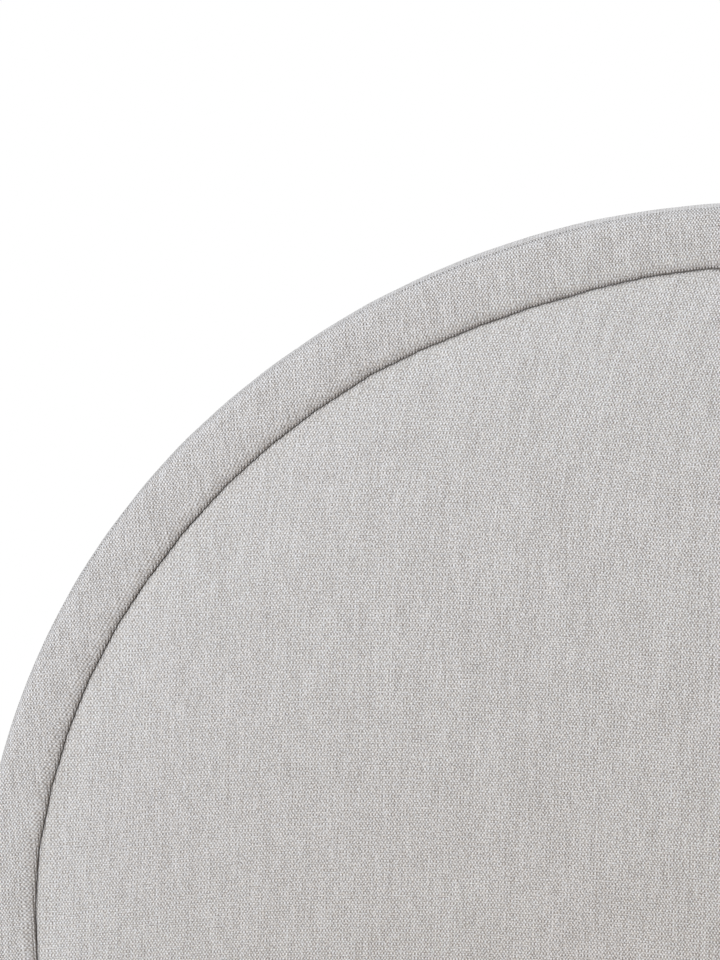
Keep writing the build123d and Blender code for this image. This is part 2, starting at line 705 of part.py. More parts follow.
with BuildPart() as leg_inserts:
    with BuildSketch(Plane.XY.offset(insert_bottom)):
        with Locations(*[(0, leg_y) for leg_y in leg_places]):
            Circle(leg_tube_radius)
    extrude(amount=insert_flange_thickness)
    with BuildSketch(Plane.XY.offset(tube_bottom)):
        with Locations(*[(0, leg_y) for leg_y in leg_places]):
            Circle(tube_bore - insert_clearance)
    extrude(amount=insert_plug_length)
    with BuildSketch(Plane.XY.offset(insert_bottom)):
        with Locations(*[(0, leg_y) for leg_y in leg_places]):
            Circle(foot_stud_radius + foot_stud_clearance)
    extrude(amount=insert_flange_thickness + insert_plug_length, mode=Mode.SUBTRACT)
leg_inserts.part.label = "leg_inserts"
export_step(leg_inserts.part, "parts/leg_inserts.step")

# Corner legs: two under the stiles and two under the corner blocks
stile_leg_y = (board_front + frame_back) / 2
corner_legs = (
    ("leg_head_left", (-stile_middle_x, stile_leg_y)),
    ("leg_head_right", (stile_middle_x, stile_leg_y)),
    ("leg_foot_left", (-block_middle_x, block_middle_y)),
    ("leg_foot_right", (block_middle_x, block_middle_y)),
)
corner_leg_places = [place for leg_name, place in corner_legs]
leg_length = plate_bottom - glide_height
for leg_name, place in corner_legs:
    with BuildPart() as corner_leg:
        with Locations((*place, glide_height)):
            Cone(leg_bottom_radius, leg_top_radius, leg_length, align=(Align.CENTER, Align.CENTER, Align.MIN))
        fillet(corner_leg.edges().filter_by(GeomType.CIRCLE), leg_edge_round)
        with BuildSketch(Plane.XY.offset(plate_bottom)):
            with Locations(place):
                Circle(leg_stud_radius + thread_clearance)
        extrude(amount=-leg_stud_length, mode=Mode.SUBTRACT)
    corner_leg.part.label = leg_name
    export_step(corner_leg.part, f"parts/{leg_name}.step")

plate_hole_reach = leg_plate_size / 2 - leg_plate_hole_inset
plate_hole_places = [
    (x + sign_x * plate_hole_reach, y + sign_y * plate_hole_reach)
    for x, y in corner_leg_places
    for sign_x in (-1, 1)
    for sign_y in (-1, 1)
]
with BuildPart() as leg_plates:
    with BuildSketch(Plane.XY.offset(plate_bottom)):
        with Locations(*corner_leg_places):
            RectangleRounded(leg_plate_size, leg_plate_size, leg_plate_corner)
        with Locations(*plate_hole_places):
            Circle(leg_plate_hole_radius, mode=Mode.SUBTRACT)
    extrude(amount=leg_plate_thickness)
    with BuildSketch(Plane.XY.offset(plate_bottom)):
        with Locations(*corner_leg_places):
            Circle(leg_stud_radius)
    extrude(amount=-leg_stud_length)
leg_plates.part.label = "leg_plates"
export_step(leg_plates.part, "parts/leg_plates.step")

with BuildPart() as leg_glides:
    with BuildSketch(Plane.XY):
        with Locations(*corner_leg_places):
            Circle(glide_radius)
    extrude(amount=glide_height)
    fillet(leg_glides.edges().group_by(Axis.Z)[0], glide_edge_round)
leg_glides.part.label = "leg_glides"
export_step(leg_glides.part, "parts/leg_glides.step")

# Head bolts, with their socket heads sunk in the stiles and barrel nuts in the rails
bolt_seat = frame_back - counterbore_depth
head_bolt_places = [(sign * board_middle_x, z) for sign in (-1, 1) for z in head_bolt_z]
with BuildPart() as head_bolts:
    with BuildSketch(facing_foot(bolt_seat)):
        with Locations(*head_bolt_places):
            Circle(bolt_head_radius)
    extrude(amount=-bolt_head_height)
    with BuildSketch(facing_foot(bolt_seat)):
        with Locations(*head_bolt_places):
            Circle(bolt_radius)
    extrude(amount=bolt_seat - head_bolt_tip)
    with BuildSketch(facing_foot(bolt_seat + bolt_head_height)):
        with Locations(*head_bolt_places):
            RegularPolygon(bolt_socket_radius, 6)
    extrude(amount=bolt_socket_depth, mode=Mode.SUBTRACT)
head_bolts.part.label = "head_bolts"
export_step(head_bolts.part, "parts/head_bolts.step")

with BuildPart() as barrel_nuts:
    for side, sign in sides:
        with BuildSketch(facing_out(sign, board_inner_x + barrel_nut_inset)):
            with Locations(*[(sign * nut_y, z) for z in head_bolt_z]):
                Circle(barrel_nut_radius)
        extrude(amount=rail_board_thickness - 2 * barrel_nut_inset)
    with BuildSketch(facing_foot(nut_y + barrel_nut_radius)):
        with Locations(*head_bolt_places):
            Circle(bolt_radius + thread_clearance)
    extrude(amount=2 * barrel_nut_radius, mode=Mode.SUBTRACT)
barrel_nuts.part.label = "barrel_nuts"
export_step(barrel_nuts.part, "parts/barrel_nuts.step")

# Corner bolts run from inside each corner block to tee nuts sunk in the boards
block_inner_x = board_inner_x - block_size
block_inner_y = foot_board_inner_y + block_size
foot_bolt_places = [(sign * block_middle_x, z) for sign in (-1, 1) for z in foot_bolt_z]
corner_bolt_length = block_size + rail_board_thickness - tee_flange_thickness
with BuildPart() as corner_bolts:
    for side, sign in sides:
        side_bolt_places = [(sign * block_middle_y, z) for z in side_bolt_z]
        with BuildSketch(facing_out(sign, block_inner_x)):
            with Locations(*side_bolt_places):
                Circle(bolt_head_radius)
        extrude(amount=-bolt_head_height)
        with BuildSketch(facing_out(sign, block_inner_x)):
            with Locations(*side_bolt_places):
                Circle(bolt_radius)
        extrude(amount=corner_bolt_length)
        with BuildSketch(facing_out(sign, block_inner_x - bolt_head_height)):
            with Locations(*side_bolt_places):
                RegularPolygon(bolt_socket_radius, 6)
        extrude(amount=bolt_socket_depth, mode=Mode.SUBTRACT)
    with BuildSketch(facing_foot(block_inner_y)):
        with Locations(*foot_bolt_places):
            Circle(bolt_head_radius)
    extrude(amount=-bolt_head_height)
    with BuildSketch(facing_foot(block_inner_y)):
        with Locations(*foot_bolt_places):
            Circle(bolt_radius)
    extrude(amount=corner_bolt_length)
    with BuildSketch(facing_foot(block_inner_y + bolt_head_height)):
        with Locations(*foot_bolt_places):
            RegularPolygon(bolt_socket_radius, 6)
    extrude(amount=bolt_socket_depth, mode=Mode.SUBTRACT)
corner_bolts.part.label = "corner_bolts"
export_step(corner_bolts.part, "parts/corner_bolts.step")

with BuildPart() as tee_nuts:
    for side, sign in sides:
        side_bolt_places = [(sign * block_middle_y, z) for z in side_bolt_z]
        with BuildSketch(facing_out(sign, board_outer_x)):
            with Locations(*side_bolt_places):
                Circle(tee_flange_radius)
        extrude(amount=-tee_flange_thickness)
        with BuildSketch(facing_out(sign, board_outer_x - tee_flange_thickness)):
            with Locations(*side_bolt_places):
                Circle(tee_barrel_radius)
        extrude(amount=-tee_barrel_length)
        with BuildSketch(facing_out(sign, board_outer_x)):
            with Locations(*side_bolt_places):
                Circle(bolt_radius + thread_clearance)
        extrude(amount=-tee_flange_thickness - tee_barrel_length, mode=Mode.SUBTRACT)
    with BuildSketch(facing_foot(foot_board_outer_y)):
        with Locations(*foot_bolt_places):
            Circle(tee_flange_radius)
    extrude(amount=-tee_flange_thickness)
    with BuildSketch(facing_foot(foot_board_outer_y + tee_flange_thickness)):
        with Locations(*foot_bolt_places):
            Circle(tee_barrel_radius)
    extrude(amount=-tee_barrel_length)
    with BuildSketch(facing_foot(foot_board_outer_y)):
        with Locations(*foot_bolt_places):
            Circle(bolt_radius + thread_clearance)
    extrude(amount=-tee_flange_thickness - tee_barrel_length, mode=Mode.SUBTRACT)
tee_nuts.part.label = "tee_nuts"
export_step(tee_nuts.part, "parts/tee_nuts.step")

# Screws: countersunk ones through the ledgers, pan heads everywhere else
screw_head_taper = degrees(atan2(screw_head_radius - screw_radius, screw_head_height))
with BuildPart() as ledger_screws:
    for side, sign in sides:
        places = [(sign * y, z) for y, z in ledger_screw_places]
        with BuildSketch(facing_out(sign, board_inner_x - ledger_width)):
            with Locations(*places):
                Circle(screw_head_radius)
        extrude(amount=screw_head_height, taper=screw_head_taper)
        with BuildSketch(facing_out(sign, board_inner_x - ledger_width)):
            with Locations(*places):
                Circle(screw_radius)
        extrude(amount=ledger_screw_length)
ledger_screws.part.label = "ledger_screws"
export_step(ledger_screws.part, "parts/ledger_screws.step")

with BuildPart() as panel_screws:
    with BuildSketch(facing_foot(frame_front)):
        with Locations(*panel_screw_places):
            Circle(screw_head_radius)
    extrude(amount=-screw_head_height)
    fillet(panel_screws.edges().group_by(Axis.Y)[-1], screw_head_height / 2)
    with BuildSketch(facing_foot(frame_front)):
        with Locations(*panel_screw_places):
            Circle(screw_radius)
    extrude(amount=panel_screw_length)
panel_screws.part.label = "panel_screws"
export_step(panel_screws.part, "parts/panel_screws.step")

with BuildPart() as beam_screws:
    for end_name, end_y, toward in beam_ends:
        plate_y = end_y - toward * hanger_steel
        with BuildSketch(facing_foot(plate_y)):
            with Locations(*hanger_screw_places):
                Circle(screw_head_radius)
        extrude(amount=toward * screw_head_height)
        with BuildSketch(facing_foot(plate_y)):
            with Locations(*hanger_screw_places):
                Circle(screw_radius)
        extrude(amount=-toward * beam_screw_length)
    with BuildSketch(Plane.XY.offset(flange_bottom)):
        with Locations(*flange_screw_places):
            Circle(screw_head_radius)
    extrude(amount=-screw_head_height)
    with BuildSketch(Plane.XY.offset(flange_bottom)):
        with Locations(*flange_screw_places):
            Circle(screw_radius)
    extrude(amount=beam_screw_length)
beam_screws.part.label = "beam_screws"
export_step(beam_screws.part, "parts/beam_screws.step")
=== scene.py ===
import math

import bmesh
import bpy
import numpy as np
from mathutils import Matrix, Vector


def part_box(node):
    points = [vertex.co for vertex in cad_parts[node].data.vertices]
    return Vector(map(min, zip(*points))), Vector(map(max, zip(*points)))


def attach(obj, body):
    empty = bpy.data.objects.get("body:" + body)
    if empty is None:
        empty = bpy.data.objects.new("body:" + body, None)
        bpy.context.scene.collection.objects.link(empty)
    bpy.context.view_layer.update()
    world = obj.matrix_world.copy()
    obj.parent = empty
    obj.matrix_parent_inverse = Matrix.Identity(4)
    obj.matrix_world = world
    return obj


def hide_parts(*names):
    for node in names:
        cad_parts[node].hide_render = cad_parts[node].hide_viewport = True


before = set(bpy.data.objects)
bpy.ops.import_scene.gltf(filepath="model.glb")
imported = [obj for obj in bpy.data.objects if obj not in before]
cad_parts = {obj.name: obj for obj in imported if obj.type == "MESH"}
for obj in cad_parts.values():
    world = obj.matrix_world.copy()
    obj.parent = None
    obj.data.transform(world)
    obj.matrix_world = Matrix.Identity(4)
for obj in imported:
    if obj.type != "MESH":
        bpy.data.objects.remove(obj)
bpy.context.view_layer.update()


# The room: a plain studio with a pale floor that fades to white. The camera stands
# on the bed's centre line, a little above the headboard, with a long lens that
# holds the headboard's top left quarter.
band_low, band_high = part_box("border_cover")
band_front = band_low.y
headboard_top = band_high.z
camera_distance = 8.0
camera_above_top = 0.33
picture_height = 0.8947
sensor = 36.0
picture_centre = Vector((-0.3795, band_front, 0.9937))
floor_radius = 7.0
floor_sides = 96
floor_fade = (1.7, 3.4)
floor_colour = (0.80, 0.795, 0.79, 1)
ambient = 0.46
lamp_colour = (0.970, 0.985, 0.998)


class Nodes:
    """A node tree while it is made: each call adds one node and gives back its output."""

    def __init__(self, tree):
        self.tree = tree

    def put(self, socket, source):
        if isinstance(source, bpy.types.NodeSocket):
            self.tree.links.new(source, socket)
        else:
            socket.default_value = source

    def add(self, kind, sources=(), out=0, **settings):
        """sources holds a socket's name or place and what feeds it: a number or an output."""
        node = self.tree.nodes.new("ShaderNode" + kind)
        for key, value in settings.items():
            setattr(node, key, value)
        for key, source in dict(sources).items():
            self.put(node.inputs[key], source)
        return node.outputs[out]

    def sum(self, operation, first, second=0.0, third=0.0):
        return self.add("Math", {0: first, 1: second, 2: third}, operation=operation)

    def times(self, value, factor, plus=0.0):
        return self.sum("MULTIPLY_ADD", value, factor, plus)


class Finish(Nodes):
    """A material while it is made."""

    def __init__(self, name):
        self.material = bpy.data.materials.new(name)
        self.material.use_nodes = True
        super().__init__(self.material.node_tree)
        self.surface = self.tree.nodes["Principled BSDF"]

    def lift(self, tone, pattern, share):
        """tone, moved up and down by a share of a pattern that runs from 0 to 1."""
        return self.times(self.sum("SUBTRACT", pattern, 0.5), share, tone)

    def span(self, value, start, end, low=0.0, high=1.0, **settings):
        """low where value is at start, high at its end, and an even change between them."""
        return self.add("MapRange", {"Value": value, "From Min": start, "From Max": end,
                                     "To Min": low, "To Max": high}, **settings)

    def place(self):
        return self.add("TexCoord", out="Object")

    def noise(self, place, scale, detail=2.0, rough=0.5, out="Fac", **settings):
        return self.add("TexNoise", {"Vector": place, "Scale": scale, "Detail": detail,
                                     "Roughness": rough}, out, **settings)

    def ramp(self, value, *stops):
        """A colour for each value between the stops, which are (place, colour) pairs."""
        output = self.add("ValToRGB", {"Fac": value})
        ramp = output.node.color_ramp
        while len(ramp.elements) < len(stops):
            ramp.elements.new(1.0)
        for element, (place, colour) in zip(ramp.elements, stops):
            element.position = place
            element.color = (*colour, 1)
        return output

    def set(self, **sockets):
        """Sockets of the surface, by their names with _ for a space."""
        for key, source in sockets.items():
            self.put(self.surface.inputs[key.replace("_", " ")], source)

    def bump(self, height, distance, strength=1.0):
        self.set(Normal=self.add("Bump", {"Height": height, "Distance": distance,
                                          "Strength": strength}))


def look_at(thing, place, target):
    thing.location = place
    thing.rotation_euler = (Vector(target) - Vector(place)).to_track_quat("-Z", "Y").to_euler()
    bpy.context.scene.collection.objects.link(thing)


camera = bpy.data.objects.new("camera", bpy.data.cameras.new("camera"))
camera_place = Vector((0, band_front - camera_distance, headboard_top + camera_above_top))
look_at(camera, camera_place, picture_centre)
camera.data.sensor_width = sensor
camera.data.lens = sensor * (picture_centre - camera_place).length / picture_height
camera.data.clip_end = 100
bpy.context.scene.camera = camera
bpy.context.scene.view_settings.view_transform = "Standard"


def soft_box(name, place, target, width, height, power):
    lamp = bpy.data.lights.new(name, "AREA")
    lamp.shape = "RECTANGLE"
    lamp.size, lamp.size_y = width, height
    lamp.energy = power
    lamp.color = lamp_colour
    holder = bpy.data.objects.new(name, lamp)
    look_at(holder, place, target)
    holder.visible_camera = False


soft_box("key_lamp", (-4.9, -5.2, 4.9), (-0.2, 0.6, 0.7), 3.1, 3.1, 420)
soft_box("fill_lamp", (3.4, -5.0, 1.9), (0, 0.6, 0.7), 2.6, 2.0, 70)
soft_box("back_lamp", (0.6, 4.6, 3.8), (0, 0.6, 0.6), 2.6, 2.0, 130)

world = bpy.data.worlds.new("studio")
world.use_nodes = True
bpy.context.scene.world = world
studio = Nodes(world.node_tree)
seen = studio.add("LightPath", out="Is Camera Ray")
rays = seen.node.outputs
for other in ("Is Glossy Ray", "Is Transmission Ray"):
    seen = studio.sum("MAXIMUM", seen, rays[other])
plain_light = world.node_tree.nodes["Background"].inputs
studio.put(plain_light["Color"], (1, 1, 1, 1))
studio.put(plain_light["Strength"], studio.times(seen, 1 - ambient, ambient))

pale_floor = Finish("pale_floor")
from_middle = pale_floor.add("VectorMath", {0: pale_floor.place()}, "Value", operation="LENGTH")
fade = pale_floor.span(from_middle, *floor_fade, interpolation_type="SMOOTHSTEP")
camera_ray = pale_floor.add("LightPath", out="Is Camera Ray")
to_white = pale_floor.times(fade, camera_ray)
pale_floor.set(Base_Color=floor_colour, Roughness=0.8)
plain_white = pale_floor.add("Emission", {"Color": (1, 1, 1, 1), "Strength": 1.0})
faded = pale_floor.add("MixShader", {0: to_white, 1: pale_floor.surface.outputs[0], 2: plain_white})
underneath = pale_floor.add("NewGeometry", out="Backfacing")
one_sided = pale_floor.add("MixShader", {0: underneath, 1: faded,
                                         2: pale_floor.add("BsdfTransparent")})
pale_floor.tree.links.new(one_sided, pale_floor.tree.nodes["Material Output"].inputs["Surface"])


def meshed(name, points, faces):
    """A new object in the scene, with its mesh."""
    mesh = bpy.data.meshes.new(name)
    mesh.from_pydata(points, [], faces)
    piece = bpy.data.objects.new(name, mesh)
    bpy.context.scene.collection.objects.link(piece)
    return piece


turn = np.linspace(0, 2 * np.pi, floor_sides, endpoint=False)
rim = np.stack([floor_radius * np.cos(turn), floor_radius * np.sin(turn), 0 * turn], 1)
floor = meshed("floor", rim, [list(range(floor_sides))])
floor.data.materials.append(pale_floor.material)


# Upholstery cloth: one pale grey melange plain weave all over the bed. Light warp
# yarns run up and darker, browner weft yarns run across, uneven and slubbed.
warp_pitch = 0.00148
weft_pitch = 0.00217
yarn_drift = 0.0008
fibre_raggedness = 0.004
yarn_raggedness = 0.002
far_from_fold = 0.05
# How far from a crease or seam the painted shade reaches
painted_shade_reach = 0.022
middle_and_side = (0.10, 0.65)
middle_and_side_relief = (1.05, 0.86)
drawn_reach = (0.003, 0.020)
drawn_relief = (0.80, 1.0)
weld_distance = 2e-5
sharp_edge = math.radians(50)


def woven(name, openness_and_shade, rim_painted_shade):
    """The plain weave: the product of a wave per warp yarn and a wave per weft yarn, with
    each yarn's own unevenness. An openness above 1 is cloth whose yarns are pulled apart, which
    also darkens its middle tone as painted shade; the last argument is the painted shade a little
    way out from a crease, which fades to none further out."""
    cloth = Finish(name)
    cloth_place = cloth.add("UVMap", uv_map="cloth")
    yarn_place = cloth_place
    for scale in (38, 330):
        drift = cloth.noise(cloth_place, scale, 2, out="Color", noise_dimensions="2D")
        drift = cloth.add("VectorMath", {0: drift, 1: (0.5, 0.5, 0.5)}, operation="SUBTRACT")
        drift = cloth.add("VectorMath", {0: drift, 1: (yarn_drift,) * 3}, operation="MULTIPLY")
        yarn_place = cloth.add("VectorMath", {0: yarn_place, 1: drift}, operation="ADD")
    split_place = cloth.add("SeparateXYZ", {0: yarn_place})
    across, up = split_place, split_place.node.outputs["Y"]
    warp = cloth.sum("DIVIDE", across, warp_pitch)
    weft = cloth.sum("DIVIDE", up, weft_pitch)
    warp_wave = cloth.sum("SINE", cloth.times(warp, math.pi))
    weft_wave = cloth.sum("SINE", cloth.times(weft, math.pi))
    over = cloth.times(warp_wave, weft_wave)
    warp_number = cloth.sum("FLOOR", warp)
    weft_number = cloth.sum("FLOOR", weft)
    warp_yarn = cloth.add("CombineXYZ", {0: cloth.times(warp_number, 3.71),
                                         1: cloth.times(up, 36)})
    weft_yarn = cloth.add("CombineXYZ", {0: cloth.times(across, 90),
                                         1: cloth.times(weft_number, 5.37)})
    stripe_place = cloth.add("CombineXYZ", {0: cloth.times(across, 38),
                                            1: cloth.times(up, 8)})
    crossing = cloth.add("CombineXYZ", {0: warp_number, 1: weft_number})
    # Each yarn reads its own line of a noise, so that its tone changes only along it
    warp_tone = cloth.noise(warp_yarn, 1.0, 1, noise_dimensions="2D")
    weft_tone = cloth.noise(weft_yarn, 1.0, 1, noise_dimensions="2D")
    stripes = cloth.noise(stripe_place, 1.0, 4, 0.9, noise_dimensions="2D")
    fleck = cloth.add("TexWhiteNoise", {"Vector": crossing}, "Value", noise_dimensions="2D")
    fibre = cloth.noise(cloth_place, 620, 1, noise_dimensions="2D")
    fuzz = cloth.noise(cloth_place, 1150, 1, noise_dimensions="2D")
    ribs = cloth.times(weft_wave, weft_wave)
    # The yarns' openness also lowers the middle tone: painted shade, so the band's copy of the cloth is
    # a little darker than the pad's
    middle_tone = 0.6 - 0.1 * openness_and_shade
    tone = cloth.times(over, 0.36 * openness_and_shade, middle_tone)
    tone = cloth.times(warp_wave, 0.085 * openness_and_shade, tone)
    for unevenness, share in (
            (warp_tone, 0.27 * openness_and_shade ** 2), (weft_tone, 0.11), (stripes, 0.17 / openness_and_shade),
            (fleck, 0.09), (fibre, 0.90), (fuzz, 0.70), (ribs, 0.18)):
        tone = cloth.lift(tone, unevenness, share)
    # The yarns stand out less at the bed's sides and where the cloth is drawn tight
    fold = cloth.add("Attribute", out="Fac", attribute_name="fold")
    beside = cloth.span(cloth.sum("ABSOLUTE", across), *middle_and_side, *middle_and_side_relief)
    drawn = cloth.span(fold, *drawn_reach, *drawn_relief)
    relief = cloth.times(beside, drawn)
    tone = cloth.times(cloth.sum("SUBTRACT", tone, middle_tone), relief, middle_tone)
    grey = cloth.ramp(tone, (0.02, (0.236, 0.219, 0.208)), (0.32, (0.407, 0.390, 0.381)),
                      (0.57, (0.638, 0.632, 0.639)), (0.95, (0.868, 0.876, 0.903)))
    # Painted shade where the cloth turns into a seam or a crease: ragged dark strokes along the yarns,
    # and on the pad a faint darkening further out over its rim
    ragged = cloth.lift(fold, fibre, fibre_raggedness)
    ragged = cloth.times(warp_wave, yarn_raggedness, ragged)
    away = cloth.sum("DIVIDE", ragged, painted_shade_reach)
    shade = cloth.ramp(away, (0.0, (0.39, 0.364, 0.343)), (0.13, rim_painted_shade), (1.0, (1.0, 1.0, 1.0)))
    tint = cloth.ramp(cloth.noise(cloth_place, 260, 1, noise_dimensions="2D"),
                      (0.35, (1.0, 0.988, 0.973)), (0.65, (0.990, 1.0, 1.016)))
    dyed = cloth.add("VectorMath", {0: grey, 1: tint}, operation="MULTIPLY")
    cloth.set(Base_Color=cloth.add("VectorMath", {0: dyed, 1: shade}, operation="MULTIPLY"),
              Roughness=0.92, Specular_IOR_Level=0.18, Sheen_Weight=0.12, Sheen_Roughness=0.5,
              Sheen_Tint=(1, 1, 1, 1))
    cloth.bump(cloth.sum("ABSOLUTE", over), 0.00035, 0.6)
    return cloth.material


# The pad's cloth gets a faint painted shade out over the pad's rim beside the crease
upholstery_cloth = woven("upholstery_cloth", 1.0, (0.955, 0.947, 0.930))
# The band's copy of the cloth: its yarns stand further apart, and its colour is a little darker as
# painted shade
border_cloth = woven("border_cloth", 1.24, (1.0, 1.0, 1.0))


def sewn(name, patches):
    """A closed piece of several grids. Each patch holds points (n, m, 3), their places on
    the flat cloth (n, m, 2) and, near a seam, how far they are from it (n, m), in metres.
    Edges that meet are welded, open ends are closed flat and the faces are turned outwards."""
    quads, first = [], 0
    for points, *_ in patches:
        rows, columns = points.shape[:2]
        index = first + np.arange(rows * columns).reshape(rows, columns)
        quads.append(np.stack([index[:-1, :-1], index[:-1, 1:], index[1:, 1:], index[1:, :-1]], -1)
                     .reshape(-1, 4))
        first += rows * columns
    quads = np.concatenate(quads)
    flat = np.concatenate([places.reshape(-1, 2) for _, places, *_ in patches])
    folds = [fold[0] if fold else np.full(points.shape[:2], far_from_fold)
             for points, _, *fold in patches]
    folds = np.concatenate([fold.ravel() for fold in folds])
    piece = meshed(name, np.concatenate([points.reshape(-1, 3) for points, *_ in patches]), quads)
    mesh = piece.data
    mesh.uv_layers.new(name="cloth").data.foreach_set("uv", flat[quads].ravel())
    mesh.attributes.new("fold", "FLOAT", "CORNER").data.foreach_set("value", folds[quads].ravel())
    shell = bmesh.new()
    shell.from_mesh(mesh)
    bmesh.ops.remove_doubles(shell, verts=shell.verts, dist=weld_distance)
    open_edges = [edge for edge in shell.edges if edge.is_boundary]
    caps = bmesh.ops.holes_fill(shell, edges=open_edges, sides=0)["faces"] if open_edges else []
    place_layer, fold_layer = shell.loops.layers.uv["cloth"], shell.loops.layers.float["fold"]
    for corner in (corner for cap in caps for corner in cap.loops):
        corner[place_layer].uv = (corner.vert.co.x, corner.vert.co.y + corner.vert.co.z)
        corner[fold_layer] = far_from_fold
    bmesh.ops.triangulate(shell, faces=caps, ngon_method="EAR_CLIP")
    bmesh.ops.recalc_face_normals(shell, faces=shell.faces)
    shell.to_mesh(mesh)
    shell.free()
    mesh.shade_smooth()
    mesh.set_sharp_from_angle(angle=sharp_edge)
    return piece


def joined(*columns):
    """Points from their coordinates, each an array or one number for all of them."""
    return np.stack(np.broadcast_arrays(*columns), -1)


def soft_steps(value, low, high):
    """0 below low, 1 above high and a smooth turn between them."""
    share = np.clip((value - low) / (high - low), 0, 1)
    return share * share * (3 - 2 * share)


# Border band: foam under cloth, carried round the headboard's edge. A sewn gusset
# closes the edge, and the cloth returns over the frame behind. Its inner side rolls
# down into the crease, where staples about every 60 mm hold it.
half_width = band_high.x
band_bottom = band_low.z
gusset_back = band_high.y
springing = 0.554
shoulder_radius = 0.669
crown_radius = 0.77585
border_width = 0.060
board_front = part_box("headboard_front_board")[0].y
rail_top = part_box("side_rail_left_cover")[1].z
outer_roll = 0.010
inner_roll = 0.014
inner_roll_turn = math.radians(52)

# Over the top and down the sides, with an even change between two runs from the top
roll_runs = (0.50, 0.66)
inner_roll_depths = (0.0066, 0.0052)
face_runs = (0.15, 0.60)
face_falls = (0.0020, -0.0006)
face_bulges = (0.0008, 0.0005)

# The edge seam's insets at their runs from the top, and its groove and stitches
seam_runs = (0, 0.12, 0.17, 0.23, 0.31, 0.345, 0.385, 0.60, 0.68, 0.715, 0.74, 0.79, 0.86)
seam_insets = 0.001 * np.array([0.3, 0.3, 0.9, 1.7, 1.4, 1.0, 0.2, 0.1, 0.3, 0.9, 1.0, 0.4, 0.1])
seam_depth = 0.0016
seam_half_width = 0.0007
stitch_length = 0.0062
stitch_share = 0.35

# How far the painted shade in the seam's groove reaches, and how much lighter it is at each stitch
seam_fade = 1.5
least_seam_gap = 0.0008
stitch_gap = 0.0006
stitch_jitter = 0.0016

skin = 0.002
band_step = 0.0030
band_pull = 0.0016
band_ripple = 0.0004
band_strain = 0.0035
pull_spacing = 0.060
pull_wander = 0.007
pull_half_width = 0.0075
pull_strengths = (0.35, 1.0)
span_bow_depths = (0.0003, 0.0010)
crease_wobble = 0.00015
wobble_lengths = (0.0113, 0.0171)
shoulder_x = half_width - shoulder_radius
crown_z = headboard_top - crown_radius
joint_angle = math.atan2(springing - crown_z, shoulder_x)
random = np.random.default_rng(11)


def stretches(bottom, inset=0.0):
    """Lengths of the outline moved in by an inset: side, shoulder, crown, shoulder, side."""
    side, shoulder = springing - bottom, (shoulder_radius - inset) * joint_angle
    crown = (crown_radius - inset) * (np.pi - 2 * joint_angle)
    return np.array([side, shoulder, crown, shoulder, side])


def step_counts(lengths, step):
    return np.round(lengths / step).astype(int)


def arch_rows(bottom, counts):
    """Stations along the outline, from the left foot over the top to the right foot, so many
    in each stretch. Gives each one's run from the top, normal angle, arc centre and arc radius."""
    knots = np.cumsum([0, *stretches(bottom)])
    run = np.concatenate([np.linspace(start, end, count + 1)[:-1]
                          for start, end, count in zip(knots[:-1], knots[1:], counts)] + [knots[-1:]])
    angle = np.interp(run, knots, [np.pi, np.pi, np.pi - joint_angle, joint_angle, 0, 0])
    on_crown = (run >= knots[2]) & (run <= knots[3])
    height = bottom + np.minimum(run, knots[-1] - run)
    centre_x = np.where(on_crown, 0, np.where(run < knots[2], -shoulder_x, shoulder_x))
    centre_z = np.where(on_crown, crown_z, np.minimum(springing, height))
    radius = np.where(on_crown, crown_radius, shoulder_radius)
    return run - knots[-1] / 2, angle, centre_x, centre_z, radius


def arch_place(rows, inset):
    """x and z of stations moved in by an inset: centre + (radius - inset) * normal."""
    run, angle, centre_x, centre_z, radius = (column[:, None] for column in rows)
    reach = radius - inset
    return centre_x + reach * np.cos(angle), centre_z + reach * np.sin(angle)


arch_length = stretches(band_bottom).sum()
staple_count = round(arch_length / pull_spacing)
staple_runs = (np.arange(staple_count + 1) / staple_count - 0.5) * arch_length
staple_runs[1:-1] += random.uniform(-pull_wander, pull_wander, staple_count - 1)
staple_pulls = random.uniform(*pull_strengths, staple_count + 1)
span_bows = random.uniform(*span_bow_depths, staple_count)
wander_runs = (0.0, 0.09, 0.15, 0.20, 0.28, 0.34, 0.41, 0.60, 0.72, 0.80, 0.87, 1.03, 1.23, 1.60)
wander_insets = 0.001 * np.array([-3.2, -3.1, -1.4, 0.4, 0.3, -0.7, -3.8, -4.4, -5.0, -6.8, -7.6,
                                  -8.0, 0.0, 0.0])


def crease_shift(run):
    """How far the crease lies inside its plain line: it wanders slowly, nearer to the
    edge down the sides, and runs in straight spans between the staples, each a flat bow."""
    wander = np.interp(np.abs(run), wander_runs, wander_insets)
    span = np.clip(np.searchsorted(staple_runs, run, side="right") - 1, 0, staple_count - 1)
    share = (run - staple_runs[span]) / (staple_runs[span + 1] - staple_runs[span])
    yarns = sum(np.sin(2 * np.pi * run / length + phase) for phase, length in enumerate(wobble_lengths))
    return wander + span_bows[span] * 4 * share * (1 - share) + crease_wobble * yarns


def pull(run):
    """1 at a strong staple and 0 between staples, a narrow bell at each."""
    bells = np.exp(-((run[..., None] - staple_runs) / pull_half_width) ** 2) * staple_pulls
    return bells.max(-1)


def ripple(along, over):
    """Slow unevenness of stuffed cloth, between -1 and 1: three crossed waves."""
    return (np.sin(31 * along + 17 * over) + np.sin(57 * along - 43 * over + 1.3)
            + np.sin(113 * along + 29 * over + 0.6)) / 3


band_rows = arch_rows(band_bottom, step_counts(stretches(band_bottom), band_step))
band_run = band_rows[0][:, None]

# The edge seam wanders between the front of the outer roll and the very edge
seam_inset = np.interp(np.abs(band_run), seam_runs, seam_insets)
seam_turn = np.arcsin(1 - seam_inset / outer_roll)


def outer_roll_place(turn):
    """Quarter round at the outer edge, with the seam's groove cut into it."""
    groove = seam_depth * np.exp(-((turn - seam_turn) * outer_roll / seam_half_width) ** 2)
    reach = outer_roll - groove * (1 + stitch_share * np.sin(2 * np.pi * band_run / stitch_length))
    return outer_roll - reach * np.sin(turn), band_front + outer_roll - reach * np.cos(turn)


